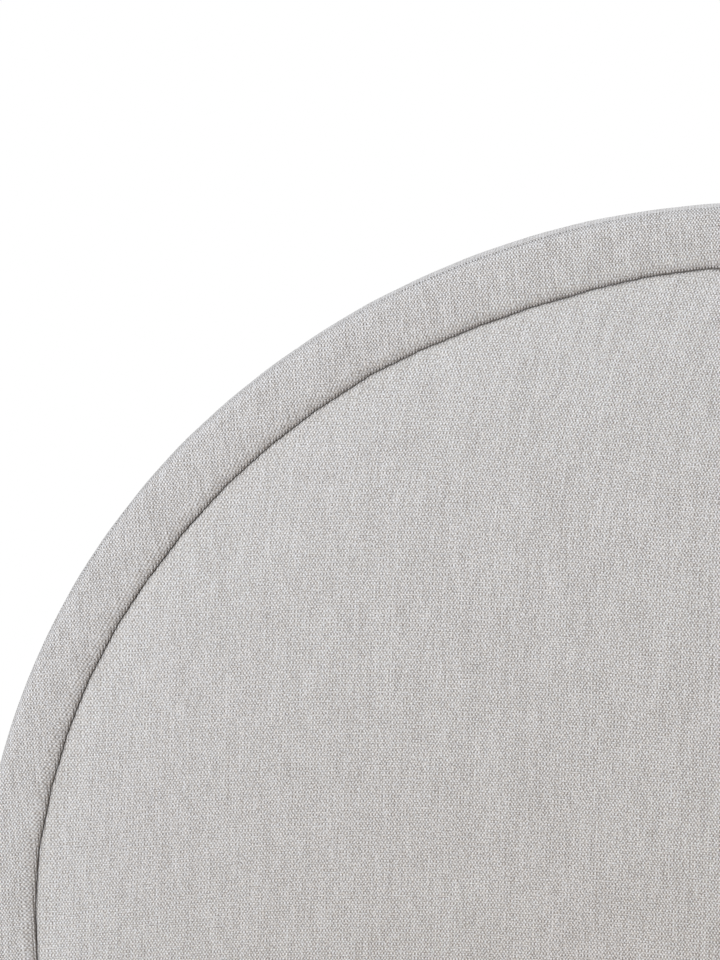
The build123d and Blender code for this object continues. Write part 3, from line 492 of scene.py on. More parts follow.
# From the bottom of the crease over the inner roll and the face to the seam
roll = np.linspace(inner_roll_turn, 0, 15)
face_inset = np.linspace(border_width - inner_roll, outer_roll, 16)[1:-1]
roll_out = inner_roll * (1 - np.sin(roll) / math.sin(inner_roll_turn))
roll_depth = np.interp(np.abs(band_run), roll_runs, inner_roll_depths)
roll_down = roll_depth * (1 - np.cos(roll)) / (1 - math.cos(inner_roll_turn))
plain_inset = np.concatenate([[border_width, border_width], border_width - roll_out, face_inset])
seam_share = np.concatenate([np.linspace(0, 0.8, 6), np.linspace(0.85, 1, 6)])
roll_inset, roll_y = outer_roll_place(seam_turn * seam_share)
rows = len(band_run)
profile_inset = np.hstack([np.tile(plain_inset, (rows, 1)), roll_inset])
profile_y = np.hstack([
    np.full((rows, 1), board_front), (board_front + band_front + roll_depth) / 2,
    band_front + roll_down, np.full((rows, len(face_inset)), band_front), roll_y])
inward = soft_steps(profile_inset, 0.022, border_width - 0.004)
near_crease = soft_steps(profile_inset, 0.036, border_width - 0.002)
face_share = np.clip((profile_inset - outer_roll) / (border_width - inner_roll - outer_roll), 0, 1)
face_fall = np.interp(np.abs(band_run), face_runs, face_falls)
face_bulge = np.interp(np.abs(band_run), face_runs, face_bulges)
belly = face_bulge * np.sin(np.pi * face_share) - face_fall * face_share
front_inset = profile_inset + crease_shift(band_run) * inward
front_y = profile_y - belly + band_pull * pull(band_run) * near_crease \
    + band_ripple * ripple(band_run, profile_inset) * soft_steps(profile_inset, 0.006, 0.02)
front_x, front_z = arch_place(band_rows, front_inset)
front_points = joined(front_x, front_y, front_z)


def unrolled(points, outward, middle):
    """Places on the flat cloth: x and z, pushed along the outward normal by the length
    that the surface gains over its shadow from the middle column on."""
    step = np.diff(points, axis=1)
    gain = np.linalg.norm(step, axis=-1) - np.linalg.norm(step[..., [0, 2]], axis=-1)
    gain = np.concatenate([np.zeros_like(gain[:, :1]), np.cumsum(gain, 1)], 1)
    gain = gain - gain[:, middle][:, None]
    return points[..., [0, 2]] + outward[:, None, :] * gain[..., None]


band_normal = joined(np.cos(band_rows[1]), np.sin(band_rows[1]))
face_middle = 2 + len(roll) + len(face_inset) // 2
front_flat = unrolled(front_points, band_normal, face_middle)
# The front's fold values, which set the painted shade in the crease and along the seam, lighter at each
# stitch
stitch_turn = np.pi * (band_run + stitch_jitter * np.sin(137 * band_run)) / stitch_length
seam_gap = least_seam_gap + stitch_gap * np.cos(stitch_turn) ** 2
from_seam = seam_fade * seam_turn * (1 - seam_share) * outer_roll + seam_gap
front_fold = border_width - profile_inset
front_fold[:, -len(seam_share):] = np.minimum(front_fold[:, -len(seam_share):], from_seam)
strain = band_strain * soft_steps(profile_inset, border_width - 0.016, border_width)
front_flat = front_flat + band_normal[:, None, :] * strain[..., None]

# The strip was cut a little askew, and its yarns lie a little closer than the pad's
closer_warp, closer_weft = 1.033, 1.05
warp_skew, weft_skew = 0.06, 0.10
flat_x, flat_z = front_flat[..., 0], front_flat[..., 1]
front_flat = joined(closer_warp * flat_x + warp_skew * flat_z,
                    closer_weft * flat_z - weft_skew * flat_x)

# The gusset, from the seam to the back, then the return over the frame
back_corner = 0.002
gusset_fullness = 0.0012
gusset_ripple = 0.0003
seam_rest = np.concatenate([np.linspace(0, 0.2, 6), np.linspace(0.2, 1, 7)[1:]])
gusset_inset, gusset_y = outer_roll_place(seam_turn + (np.pi / 2 - seam_turn) * seam_rest)
gusset_share = np.linspace(0, 1, 16)[1:]
edge_turn = np.linspace(0, np.pi / 2, 5)[1:]
wall_inset = np.concatenate([-gusset_fullness * np.sin(np.pi * gusset_share),
                             back_corner * (1 - np.cos(edge_turn))])
wall_start = band_front + outer_roll
wall_y = np.concatenate([wall_start + gusset_share * (gusset_back - back_corner - wall_start),
                         gusset_back - back_corner * (1 - np.sin(edge_turn))])
gusset_inset = np.hstack([gusset_inset, np.tile(wall_inset, (rows, 1))])
gusset_y = np.hstack([gusset_y, np.tile(wall_y, (rows, 1))])
gusset_inset = gusset_inset + gusset_ripple * ripple(band_run, gusset_y) \
    * soft_steps(gusset_y - wall_start, 0.005, 0.025)
gusset_x, gusset_z = arch_place(band_rows, gusset_inset)
gusset_points = joined(gusset_x, gusset_y, gusset_z)
gusset_step = np.linalg.norm(np.diff(gusset_points, axis=1), axis=-1)
gusset_length = np.hstack([np.zeros_like(band_run), np.cumsum(gusset_step, 1)])
gusset_flat = joined(band_run, gusset_length)
# Painted shade on the gusset beside the seam
gusset_fold = seam_fade * gusset_length + seam_gap

return_inset = np.linspace(back_corner, border_width, 8)
return_x, return_z = arch_place(band_rows, return_inset)
return_points = joined(return_x, gusset_back, return_z)
return_points[:, 0] = gusset_points[:, -1]
return_flat = return_points[..., [0, 2]]

# The inner side: behind the foam above the rails, and a bare skin beside them
beside_rail = (band_rows[3] < rail_top)[:, None]
lining_inset = np.array([border_width, border_width - skin, border_width - skin,
                         border_width - inner_roll, outer_roll, skin, skin, skin, border_width,
                         border_width])
lining_y = np.array([board_front, board_front, band_front + inner_roll, band_front + skin,
                     band_front + skin, band_front + outer_roll, board_front,
                     gusset_back - skin, gusset_back - skin, gusset_back])
lining_y = np.where(beside_rail, lining_y, np.maximum(lining_y, board_front))
lining_x, lining_z = arch_place(band_rows, lining_inset + 0 * band_run)
lining_points = joined(lining_x, lining_y, lining_z)
lining_points[:, 0] = front_points[:, 0]
lining_points[:, -1] = return_points[:, -1]
lining_flat = joined(band_run, lining_y)

border_band = sewn("border_band", [
    (front_points, front_flat, front_fold), (gusset_points, gusset_flat, gusset_fold),
    (return_points, return_flat), (lining_points, lining_flat)])
border_band.data.materials.append(border_cloth)


def cut_away(piece, cutters):
    """Cuts closed meshes out of a piece, and applies the cuts."""
    for cutter in cutters:
        cut = piece.modifiers.new("cut", "BOOLEAN")
        cut.operation = "DIFFERENCE"
        cut.solver = "EXACT"
        cut.object = cutter
        bpy.context.view_layer.update()
        depsgraph = bpy.context.evaluated_depsgraph_get()
        result = bpy.data.meshes.new_from_object(piece.evaluated_get(depsgraph))
        piece.modifiers.clear()
        piece.data = result
        bpy.data.objects.remove(cutter)


def round_bar(start, end, radius, sides=32):
    """A closed bar along y, for cutting a bolt hole."""
    turn = np.linspace(0, 2 * np.pi, sides + 1)
    ring = joined(radius * np.cos(turn), 0, radius * np.sin(turn))
    points = np.stack([ring + start, ring + end])
    return sewn("hole", [(points, points[..., [0, 2]])])


hole_radius = 0.009
hole_reach = np.array((0, 0.012, 0))
bolt_aside = 0.7095
bolt_heights = (0.1584, 0.2976)
bolt_heads = [np.array((x, gusset_back, z)) for x in (-bolt_aside, bolt_aside) for z in bolt_heights]
cut_away(border_band, [round_bar(head - hole_reach, head + hole_reach, hole_radius)
                       for head in bolt_heads])
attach(border_band, "bed")
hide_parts("border_cover", "border_pad")


# Centre pad: foam on its own thin board under the same cloth, pulled taut over the
# edge and into the crease, and stapled behind. It crowns quickly at the edge and then
# very slowly, and stands a little prouder down the sides than over the top.
pad_low, pad_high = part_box("centre_pad")
pad_swell = 0.0008
pad_inset = half_width - pad_high.x - pad_swell
pad_bottom = pad_low.z
pad_crown = pad_low.y
pad_sides = (0.9528, 0.9494)
pad_reach = 0.1988
pad_skirt = 0.003
pad_board_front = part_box("centre_pad_board")[0].y
pad_corner = 0.012
least_corner = 0.0006
pad_step = 0.0034
pad_counts = step_counts(stretches(pad_bottom, pad_inset), pad_step)
crown_power = 0.31
crease_echo = 0.030
pad_pull = 0.0022
pad_pull_reach = 0.018
pad_ripple = 0.0006
pad_strain = 0.0040
# How fast the painted shade beside the crease fades over the pad, and how light it starts
pad_fade = 1.3
pad_gap = 0.0009
pad_middle = np.array([0.0, 0.66])


def pad_loop(inset):
    """The pad's outline moved in by an inset, closed: up the left side, over the arch,
    down the right side, round a small corner and back along the bottom.
    Gives x, z and the run along the arch."""
    corner = max(pad_corner - inset, least_corner)
    low = pad_bottom + inset
    rows = arch_rows(low + corner, pad_counts)
    shift = crease_shift(rows[0]) * np.exp(-inset / crease_echo)
    x, z = (column[:, 0] for column in arch_place(rows, (pad_inset + inset + shift)[:, None]))
    turn = np.linspace(0, np.pi / 2, 9)[1:]
    right = x[-1] - corner
    corner_x, corner_z = right + corner * np.cos(turn), low + corner * (1 - np.sin(turn))
    bottom_x = np.linspace(right, -right, 160)[1:-1]
    loop_x = np.concatenate([x, corner_x, bottom_x, -corner_x[::-1], x[:1]])
    loop_z = np.concatenate([z, corner_z, np.full(len(bottom_x), low), corner_z[::-1], z[:1]])
    return loop_x, loop_z, np.concatenate([rows[0], np.full(len(loop_x) - len(x), arch_length)])


def pad_depth(x, z):
    """How far a point lies inside the pad's outline, from its arch or its bottom."""
    aside = np.abs(x)
    on_crown = np.arctan2(z - crown_z, aside) > joint_angle
    from_shoulder = shoulder_radius - np.hypot(np.maximum(aside - shoulder_x, 0),
                                               np.maximum(z - springing, 0))
    from_side = half_width - aside
    from_crown = crown_radius - np.hypot(aside, z - crown_z)
    arch = np.where(on_crown, from_crown, np.where(z > springing, from_shoulder, from_side))
    return np.minimum(arch - pad_inset, z - pad_bottom)


edge_insets = 0.001 * np.array([0, 0.25, 0.7, 1.4, 2.4, 3.7, 5.3, 7.2, 9.6, 12.5, 16, 20, 25, 31,
                                38, 46, 55])
toward = np.linspace(0, 1, 27)[1:, None]
ring_x, ring_z, ring_run = (np.array(column) for column in zip(*map(pad_loop, edge_insets)))
ring_x = np.concatenate([ring_x, ring_x[-1] + toward * (pad_middle[0] - ring_x[-1])])
ring_z = np.concatenate([ring_z, ring_z[-1] + toward * (pad_middle[1] - ring_z[-1])])
ring_run = np.concatenate([ring_run, np.tile(ring_run[-1], (len(toward), 1))])

# The crown is 1 - (1 - depth share) squared, raised to a small power; staples pull it in
edge_depth = pad_depth(ring_x, ring_z)
edge_depth[:len(edge_insets)] = edge_insets[:, None]
depth_share = np.clip(edge_depth / pad_reach, 0, 1)
pad_side = np.interp(np.abs(ring_run), face_runs, pad_sides)
pad_y = pad_side - (pad_side - pad_crown) * (1 - (1 - depth_share) ** 2) ** crown_power
near_edge = np.exp(-edge_depth / pad_pull_reach) * soft_steps(edge_depth, -0.001, 0.004)
pad_y = pad_y + pad_pull * pull(ring_run) * near_edge \
    + pad_ripple * ripple(ring_x, ring_z) * soft_steps(edge_depth, 0.01, 0.06)
pad_points = joined(ring_x, pad_y, ring_z)
outward = pad_points[0] - pad_points[len(edge_insets) // 2]
outward = outward[:, [0, 2]] / np.linalg.norm(outward[:, [0, 2]], axis=-1, keepdims=True)
pad_columns = pad_points.transpose(1, 0, 2)
pad_flat = unrolled(pad_columns, -outward, -1).transpose(1, 0, 2)
strain = pad_strain * (1 - soft_steps(edge_depth, -0.012, 0.020))
pad_flat = pad_flat - outward * strain[..., None]

# The weave lies as it was pulled on: its upright yarns lean over toward the top and
# its cross yarns rise and fall by a slow wave.
lean_start, lean_rise = 0.86, 0.29
least_lean, top_lean = 0.03, 0.26
wave_height, wave_turn, wave_place = 0.0163, 4.6, -0.36
looser_warp, side_closing = 0.983, 0.05
rise_start, rise_rate = 0.82, 0.25
flat_x, flat_z = pad_flat[..., 0], pad_flat[..., 1]
lean_share = np.clip((flat_z - lean_start) / lean_rise, 0, 1)
lean_run = lean_rise * (lean_share ** 3 - lean_share ** 4 / 2) \
    + np.maximum(flat_z - lean_start - lean_rise, 0)
pad_flat = joined(
    (looser_warp + side_closing * np.abs(flat_x)) * flat_x - least_lean * flat_z
    - top_lean * lean_run,
    flat_z + rise_rate * np.maximum(flat_z - rise_start, 0) ** 3
    - wave_height * np.cos(wave_turn * (flat_x - wave_place)))

# Behind its edge the cloth goes back to the board, in under the pad and to the middle
skirt_x, skirt_z, _ = pad_loop(pad_skirt)
behind = np.stack([
    pad_points[0], joined(ring_x[0], board_front, ring_z[0]), joined(skirt_x, board_front, skirt_z),
    joined(skirt_x, pad_board_front, skirt_z),
    joined(pad_middle[0] + 0 * skirt_x, pad_board_front, pad_middle[1])])
behind_flat = pad_flat[:1] + outward * np.array([0, 0.013, 0.016, 0.025, 0.03])[:, None, None]
# The pad's fold values, which set the painted shade beside the crease
pad_fold = pad_fade * np.maximum(edge_depth, 0) + pad_gap
centre_cushion = sewn("centre_cushion", [(pad_points, pad_flat, pad_fold), (behind, behind_flat)])
centre_cushion.data.materials.append(upholstery_cloth)
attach(centre_cushion, "bed")
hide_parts("centre_pad")


# Back: black spunbonded cloth, turned under at its edge and stapled to the frame
# over the return of the band's cloth. It is one layer, stretched and slightly slack.
dust_low, dust_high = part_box("dust_cloth")
dust_inset = half_width - dust_high.x
dust_step = 0.010
dust_counts = step_counts(stretches(dust_low.z), dust_step)
dust_hem = 0.014
fold_under = 0.0005
dust_thickness = 0.0007
dust_gap = 0.0003
dust_middle = 0.62
dust_scallop = 0.0006
dust_slack = 0.0009
dust_spacing = 0.075

dust_finish = Finish("dust_cloth_finish")
bonds = dust_finish.add("TexVoronoi", {"Vector": dust_finish.place(), "Scale": 700.0}, "Distance")
fibres = dust_finish.noise(dust_finish.place(), 240, 3, 0.65)
dust_tone = dust_finish.ramp(fibres, (0.25, (0.018, 0.018, 0.019)), (0.75, (0.052, 0.052, 0.055)))
dust_finish.set(Base_Color=dust_tone, Roughness=0.75, Specular_IOR_Level=0.3)
dust_finish.bump(dust_finish.sum("ADD", bonds, fibres), 0.0003, 0.5)


def dust_loop(inset):
    """The dust cloth's outline moved in by an inset, closed along its bottom."""
    rows = arch_rows(dust_low.z + inset, dust_counts)
    x, z = (column[:, 0] for column in arch_place(rows, dust_inset + inset))
    bottom_x = np.linspace(x[-1], x[0], 130)[1:]
    return np.concatenate([x, bottom_x]), np.concatenate([z, np.full(len(bottom_x), z[0])])


hem_insets = np.array([0, 0.002, dust_hem - 0.002, dust_hem, dust_hem + 0.002, 0.03, 0.05])
dust_x, dust_z = (np.array(column) for column in zip(*map(dust_loop, hem_insets)))
inner = np.linspace(0, 1, 22)[1:, None]
dust_x = np.concatenate([dust_x, dust_x[-1] * (1 - inner)])
dust_z = np.concatenate([dust_z, dust_z[-1] + inner * (dust_middle - dust_z[-1])])
loop_length = np.concatenate([[0], np.cumsum(np.hypot(np.diff(dust_x[0]), np.diff(dust_z[0])))])
back_staple_count = round(loop_length[-1] / dust_spacing)
dust_turn = loop_length / loop_length[-1] * back_staple_count
from_edge = np.concatenate([hem_insets[:, None], hem_insets[-1] + 0.5 * inner])
scallop = dust_scallop * (0.5 - 0.5 * np.cos(2 * np.pi * dust_turn)) * np.exp(-from_edge / 0.05)
slack = dust_slack * soft_steps(from_edge, 0.01, 0.2) * (1 + 0.5 * ripple(dust_x, dust_z))
dust_y = gusset_back + dust_gap + fold_under * (from_edge < dust_hem) + scallop + slack
dust_outer = joined(dust_x, dust_y + dust_thickness, dust_z)
dust_inner = joined(dust_x, gusset_back + dust_gap / 3, dust_z)
past_hem = from_edge[:, 0] > dust_hem + 0.006
dust_inner[past_hem, :, 1] = dust_y[past_hem]
dust_inner[0] = dust_outer[0]
dust_sheet = sewn("back_dust_cloth", [(points, points[..., [0, 2]])
                                      for points in (dust_outer, dust_inner)])
dust_sheet.data.materials.append(dust_finish.material)
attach(dust_sheet, "bed")
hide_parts("dust_cloth")


# Staples, bolts, nuts and screws: steel wire and turned steel under bright zinc plate,
# a little dull with handling. A staple's crown is all that shows once it is driven in.
wire_size = (0.0105, 0.0013, 0.0007)
crown_share = 0.86
driven_in = 0.0002
box_sides = np.array([(0, 3, 2, 1), (4, 5, 6, 7), (0, 1, 5, 4), (1, 2, 6, 5), (2, 3, 7, 6),
                      (3, 0, 4, 7)])

bright_steel = Finish("bright_steel")
grime = bright_steel.noise(bright_steel.place(), 160, 3)
bright_steel.set(
    Base_Color=bright_steel.ramp(grime, (0.3, (0.42, 0.42, 0.41)), (0.7, (0.66, 0.66, 0.67))),
    Roughness=bright_steel.ramp(grime, (0.2, (0.28,) * 3), (0.8, (0.48,) * 3)), Metallic=1.0)


def dress(packed, *materials):
    """Gives each CAD node that was packed with a finish its material: the one, or of three
    the one for its longest axis."""
    for name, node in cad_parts.items():
        if node.material_slots[0].material.name == packed:
            low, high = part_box(name)
            axis = int(np.argmax(np.array(high) - np.array(low)))
            node.material_slots[0].material = materials[axis if len(materials) == 3 else 0]


dress("zinc_steel", bright_steel.material)


def staples(name, places, along, outward):
    """Wire staples in one mesh: each a low bar, its crown narrower than its foot.
    places, along and outward are arrays of points and unit vectors."""
    places, along, outward = (np.broadcast_to(np.array(value, float), (len(places), 3))
                              for value in (places, along, outward))
    aside = np.cross(along, outward)
    corners = np.array([(a, b, c) for c in (0, 1)
                        for a, b in ((-1, -1), (1, -1), (1, 1), (-1, 1))], float)
    size = np.array(wire_size) / np.array([2, 2, 1])
    narrowing = np.where(corners[:, 2] > 0, crown_share, 1.0)
    offsets = corners * size * np.stack([narrowing, narrowing, np.ones(8)], 1)
    points = (places[:, None] + offsets[:, :1] * along[:, None] + offsets[:, 1:2] * aside[:, None]
              + offsets[:, 2:] * outward[:, None])
    faces = (box_sides + 8 * np.arange(len(places))[:, None, None]).reshape(-1, 4)
    piece = meshed(name, points.reshape(-1, 3), faces)
    shell = bmesh.new()
    shell.from_mesh(piece.data)
    bmesh.ops.recalc_face_normals(shell, faces=shell.faces)
    shell.to_mesh(piece.data)
    shell.free()
    piece.data.materials.append(bright_steel.material)
    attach(piece, "bed")


staple_at = np.abs(dust_turn - np.arange(back_staple_count)[:, None]).argmin(1)
staple_points = dust_outer[2, staple_at] - [0, driven_in, 0]
staple_along = dust_outer[2, staple_at + 1] - dust_outer[2, staple_at]
staple_along = staple_along / np.linalg.norm(staple_along, axis=1, keepdims=True) * [1, 0, 1]
staples("back_staples", staple_points, staple_along, (0, 1, 0))


# Side rails: a board in foam and the same cloth, wrapped over the top and outside and
# stapled inside under the slats' level and along the bottom.
rail_low, rail_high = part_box("side_rail_right_cover")
rail_board_low, rail_board_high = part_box("side_rail_right_board")
rail_top_roll = 0.012
rail_bottom_roll = 0.005
rail_hem_roll = 0.0012
rail_belly = 0.0022
rail_ripple = 0.0005
rail_step = 0.009
end_roll = 0.005
beyond = 0.02
cut_overlap = 0.0002
cloth_open_top = 0.270
hem_rise = 0.008
hem_spacing = 0.065


def rounded_loop(corners, counts):
    """A closed loop round square corners (x, y, radius), given anticlockwise: quarter
    rounds, and straight runs of so many steps each. Gives points and the length to each."""
    points = []
    for index, (x, y, radius) in enumerate(corners):
        after_x, after_y, rest = corners[(index + 1) % len(corners)]
        corner, after = np.array((x, y)), np.array((after_x, after_y))
        ahead = (after - corner) / np.linalg.norm(after - corner)
        back = np.array((-ahead[1], ahead[0]))
        turn = np.linspace(0, np.pi / 2, 8)[:, None]
        points.append(corner + radius * (back * (1 - np.sin(turn)) + ahead * (1 - np.cos(turn))))
        start, end = corner + radius * ahead, after - rest * ahead
        points.append(start + np.linspace(0, 1, counts[index] + 1)[1:-1, None] * (end - start))
    points = np.concatenate([*points, points[0][:1]])
    return points, np.concatenate([[0], np.cumsum(np.linalg.norm(np.diff(points, axis=0), axis=1))])


def block(low, high):
    """A plain closed box, only for cutting a board's place out of a cover."""
    corners = np.array([(x, y, z) for z in (low[2], high[2]) for x, y in (
        (low[0], low[1]), (high[0], low[1]), (high[0], high[1]), (low[0], high[1]))])
    piece = meshed("block", corners, box_sides)
    piece.data.uv_layers.new(name="cloth")
    fold = piece.data.attributes.new("fold", "FLOAT", "CORNER")
    fold.data.foreach_set("value", [far_from_fold] * box_sides.size)
    return piece


rail_loop, rail_length = rounded_loop([
    (rail_low.x, rail_low.z, rail_hem_roll), (rail_high.x, rail_low.z, rail_bottom_roll),
    (rail_high.x, rail_high.z, rail_top_roll), (rail_low.x, rail_high.z, rail_top_roll)],
    (7, 38, 5, 38))
end_steps = np.array([0, 0.0004, 0.0012, 0.0024, 0.004, 0.007])
rail_run = np.concatenate([rail_low.y + end_steps,
                           np.arange(rail_low.y + 0.015, rail_high.y - 0.010, rail_step),
                           rail_high.y - end_steps[::-1]])
from_end = np.minimum(rail_run - rail_low.y, rail_high.y - rail_run)
end_inset = end_roll * (1 - np.sqrt(1 - (1 - np.clip(from_end / end_roll, 0, 1)) ** 2))
rail_middle = np.array([(rail_low.x + rail_high.x) / 2, (rail_low.z + rail_high.z) / 2])
rail_half = np.array([(rail_high.x - rail_low.x) / 2, (rail_high.z - rail_low.z) / 2])
height_share = (rail_loop[:, 1] - rail_low.z) / (rail_high.z - rail_low.z)
outer_share = soft_steps(rail_loop[:, 0], rail_middle[0], rail_high.x)
belly = (rail_belly * 4 * height_share * (1 - height_share) * outer_share)[None] \
    * soft_steps(from_end, 0, 0.05)[:, None]
waver = rail_ripple * ripple(rail_run[:, None], rail_loop[None, :, 1]) * outer_share
rail_shrink = 1 - end_inset[:, None, None] / rail_half
rail_section = rail_middle + (rail_loop - rail_middle)[None] * rail_shrink
rail_points = joined(rail_section[..., 0] + belly + waver, rail_run[:, None], rail_section[..., 1])
rail_flat = joined(rail_run[:, None], rail_length)

for side, sign in (("left", -1), ("right", 1)):
    rail_cover = sewn(f"side_rail_{side}_cloth",
                      [(rail_points * [sign, 1, 1], rail_flat + [3 * sign, 0])])
    board_ends = [(rail_board_low.x, rail_low.y - beyond, rail_board_low.z),
                  (rail_board_high.x, rail_high.y + beyond, rail_board_high.z)]
    open_ends = [(rail_low.x - beyond, rail_low.y - beyond, rail_low.z - beyond),
                 (rail_board_low.x + cut_overlap, rail_high.y + beyond, cloth_open_top)]
    for low, high in (board_ends, open_ends):
        span = sorted((sign * low[0], sign * high[0]))
        cut_away(rail_cover, [block((span[0], *low[1:]), (span[1], *high[1:]))])
    rail_cover.data.materials.clear()
    rail_cover.data.materials.append(upholstery_cloth)
    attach(rail_cover, "bed")
    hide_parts(f"side_rail_{side}_cover")
    hem_y = np.arange(rail_low.y + 0.06, rail_high.y - 0.03, hem_spacing)
    hem_points = joined(sign * rail_low.x, hem_y, cloth_open_top + hem_rise)
    staples(f"side_rail_{side}_staples", hem_points, (0, 1, 0), (-sign, 0, 0))


# Foot rail: the same build across the foot of the bed. Its cloth also wraps both
# ends, and covers the ends of the side rails from the foot.
foot_low, foot_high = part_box("foot_rail_cover")
foot_board_low, foot_board_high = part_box("foot_rail_board")
foot_roll = 0.012
foot_bottom_roll = 0.005
foot_back_roll = 0.0015
least_foot_roll = 0.002
back_roll_share = 0.2
wall_step = 0.006
top_width, top_rise = 0.008, 0.0008
bottom_turn = np.linspace(0, np.pi / 2, 6)
top_turn = np.linspace(0, np.pi / 2, 10)
wall_z = np.arange(foot_low.z + foot_bottom_roll + wall_step,
                   foot_high.z - foot_roll - wall_step / 2, wall_step)
top_share = np.linspace(0, 1, 5)[1:]
ring_z = np.concatenate([foot_low.z + foot_bottom_roll * (1 - np.cos(bottom_turn)), wall_z,
                         foot_high.z - foot_roll * (1 - np.sin(top_turn)),
                         foot_high.z + top_rise * top_share])
ring_in = np.concatenate([foot_bottom_roll * (1 - np.sin(bottom_turn)), 0 * wall_z,
                          foot_roll * (1 - np.cos(top_turn)), foot_roll + top_width * top_share])
foot_share = np.clip((ring_z - foot_low.z) / (foot_high.z - foot_low.z), 0, 1)
ring_in = ring_in - rail_belly * 4 * foot_share * (1 - foot_share)
foot_rings, foot_flats = [], []
for inset in ring_in:
    back = foot_high.y - back_roll_share * max(inset, 0)
    front, left, right = foot_low.y + inset, foot_low.x + inset, foot_high.x - inset
    corner = max(foot_roll - max(inset, 0), least_foot_roll)
    loop, length = rounded_loop([(right, back, foot_back_roll), (left, back, foot_back_roll),
                                 (left, front, corner), (right, front, corner)], (120, 6, 120, 6))
    foot_rings.append(loop)
    foot_flats.append(length)
foot_points = joined(*np.array(foot_rings).transpose(2, 0, 1), ring_z[:, None])
foot_up = np.concatenate([[0], np.cumsum(np.hypot(np.diff(ring_z), np.diff(ring_in)))])
wall_ring = len(bottom_turn) + 2
foot_flat = joined(foot_flats[wall_ring], foot_up[:, None])
foot_x, foot_y, foot_z = foot_points.transpose(2, 0, 1)
foot_points[..., 1] += rail_ripple * ripple(foot_x, foot_z) * (foot_y < foot_low.y + 0.006) \
    * soft_steps(half_width - np.abs(foot_x), 0.01, 0.04)
foot_cloth = sewn("foot_rail_cloth", [(foot_points, foot_flat)])
cut_away(foot_cloth, [block(foot_board_low, foot_board_high),
                      block((foot_board_low.x, foot_board_high.y - cut_overlap, foot_low.z - beyond),
                            (foot_board_high.x, foot_high.y + beyond, cloth_open_top))])
foot_cloth.data.materials.clear()
foot_cloth.data.materials.append(upholstery_cloth)
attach(foot_cloth, "bed")
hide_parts("foot_rail_cover")
hem_x = np.arange(foot_board_low.x + 0.05, foot_board_high.x - 0.04, hem_spacing)
hem_points = joined(hem_x, foot_high.y, cloth_open_top + hem_rise)
staples("foot_rail_staples", hem_points, (1, 0, 0), (0, 1, 0))


# Slat webbing: two woven straps that keep the slats apart, stapled to every slat
# and hanging a little slack between them.
strap_low, strap_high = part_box("slat_webbing")
strap_x = 0.430
strap_width = 0.025
strap_thickness = strap_high.z - strap_low.z
strap_edge_roll = 0.00045
strap_sag = 0.0025
staple_aside, staple_ahead = 0.006, 0.016
herringbone_width = 0.0125
herringbone_slope = 0.012
twill_pitch = 0.0022
slat_boxes = [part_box(f"slat_{number:02d}") for number in range(1, 13)]
slat_middles = np.array([(low.y + high.y) / 2 for low, high in slat_boxes])
slat_half = (slat_boxes[0][1].y - slat_boxes[0][0].y) / 2
half_gap = np.diff(slat_middles).mean() / 2 - slat_half

strap_finish = Finish("webbing_finish")
strap_place = strap_finish.add("UVMap", uv_map="cloth")
strap_across = strap_finish.add("SeparateXYZ", {0: strap_place})
strap_along = strap_across.node.outputs["Y"]
rib = strap_finish.sum("FRACT", strap_finish.sum("DIVIDE", strap_across, herringbone_width))
slant = strap_finish.sum("ABSOLUTE", strap_finish.sum("SUBTRACT", rib, 0.5))
twill = strap_finish.times(slant, herringbone_slope, strap_along)
twill = strap_finish.sum("SINE", strap_finish.times(twill, 2 * math.pi / twill_pitch))
strap_tone = strap_finish.times(twill, 0.22, strap_finish.noise(strap_place, 1500, 2))
strap_tone = strap_finish.ramp(strap_tone, (0.2, (0.50, 0.485, 0.45)), (0.8, (0.82, 0.81, 0.78)))
strap_finish.set(Base_Color=strap_tone, Roughness=0.8, Specular_IOR_Level=0.25)
strap_finish.bump(twill, 0.0003, 0.6)

strap_loop, strap_round = rounded_loop([
    (x, z, strap_edge_roll) for x, z in ((-strap_width / 2, 0), (strap_width / 2, 0),
                                         (strap_width / 2, strap_thickness),
                                         (-strap_width / 2, strap_thickness))], (6, 1, 6, 1))
strap_run = np.linspace(strap_low.y, strap_high.y, 420)
from_slat = np.abs(strap_run[:, None] - slat_middles).min(1) - slat_half
gap_share = np.clip(from_slat / half_gap, 0, 1)
strap_drop = strap_sag * np.sin(gap_share * np.pi / 2) ** 2
strap_points = joined(strap_loop[:, 0], strap_run[:, None],
                      strap_low.z + strap_loop[:, 1] - strap_drop[:, None])
strap_flat = joined(strap_round, strap_run[:, None])
straps = sewn("slat_straps", [(strap_points + [x, 0, 0], strap_flat) for x in (-strap_x, strap_x)])
straps.data.materials.append(strap_finish.material)
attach(straps, "bed")
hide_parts("slat_webbing")
strap_staples = [(x + side * staple_aside, y + side * staple_ahead, strap_high.z - driven_in)
                 for x in (-strap_x, strap_x) for y in slat_middles for side in (-1, 1)]
staples("strap_staples", np.array(strap_staples), (1, 0, 0), (0, 0, 1))


# Timber frame, slats and ledgers: planed, unfinished pine, screwed and glued. Each piece
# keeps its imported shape, and its grain runs along it.
def timber(name, axis, pale, dark, ring_scale, gloss):
    """Sawn timber: growth rings drawn out along the grain, fine dark pores and a soft bump."""
    wood = Finish(name)
    stretch = [1.0, 1.0, 1.0]
    stretch[axis] = 0.07
    place = wood.add("Mapping", {"Vector": wood.place(), "Scale": stretch})
    rings = wood.sum("SINE", wood.times(wood.noise(place, ring_scale, 3, 0.55), 46.0))
    streak = wood.noise(place, 90, 3, 0.6)
    tone = wood.times(rings, 0.13, wood.times(streak, 0.55, 0.22))
    tone = wood.lift(tone, wood.noise(place, 900, 2, 0.6), 0.35)
    wood.set(Base_Color=wood.ramp(tone, (0.15, dark), (0.85, pale)),
             Roughness=gloss, Specular_IOR_Level=0.4)
    wood.bump(tone, 0.0004, 0.45)
    return wood.material


pine = [timber(f"pine_{letter}", axis, (0.80, 0.62, 0.40), (0.56, 0.37, 0.19), 9.0, 0.62)
        for axis, letter in enumerate("xyz")]
dress("pine", *pine)


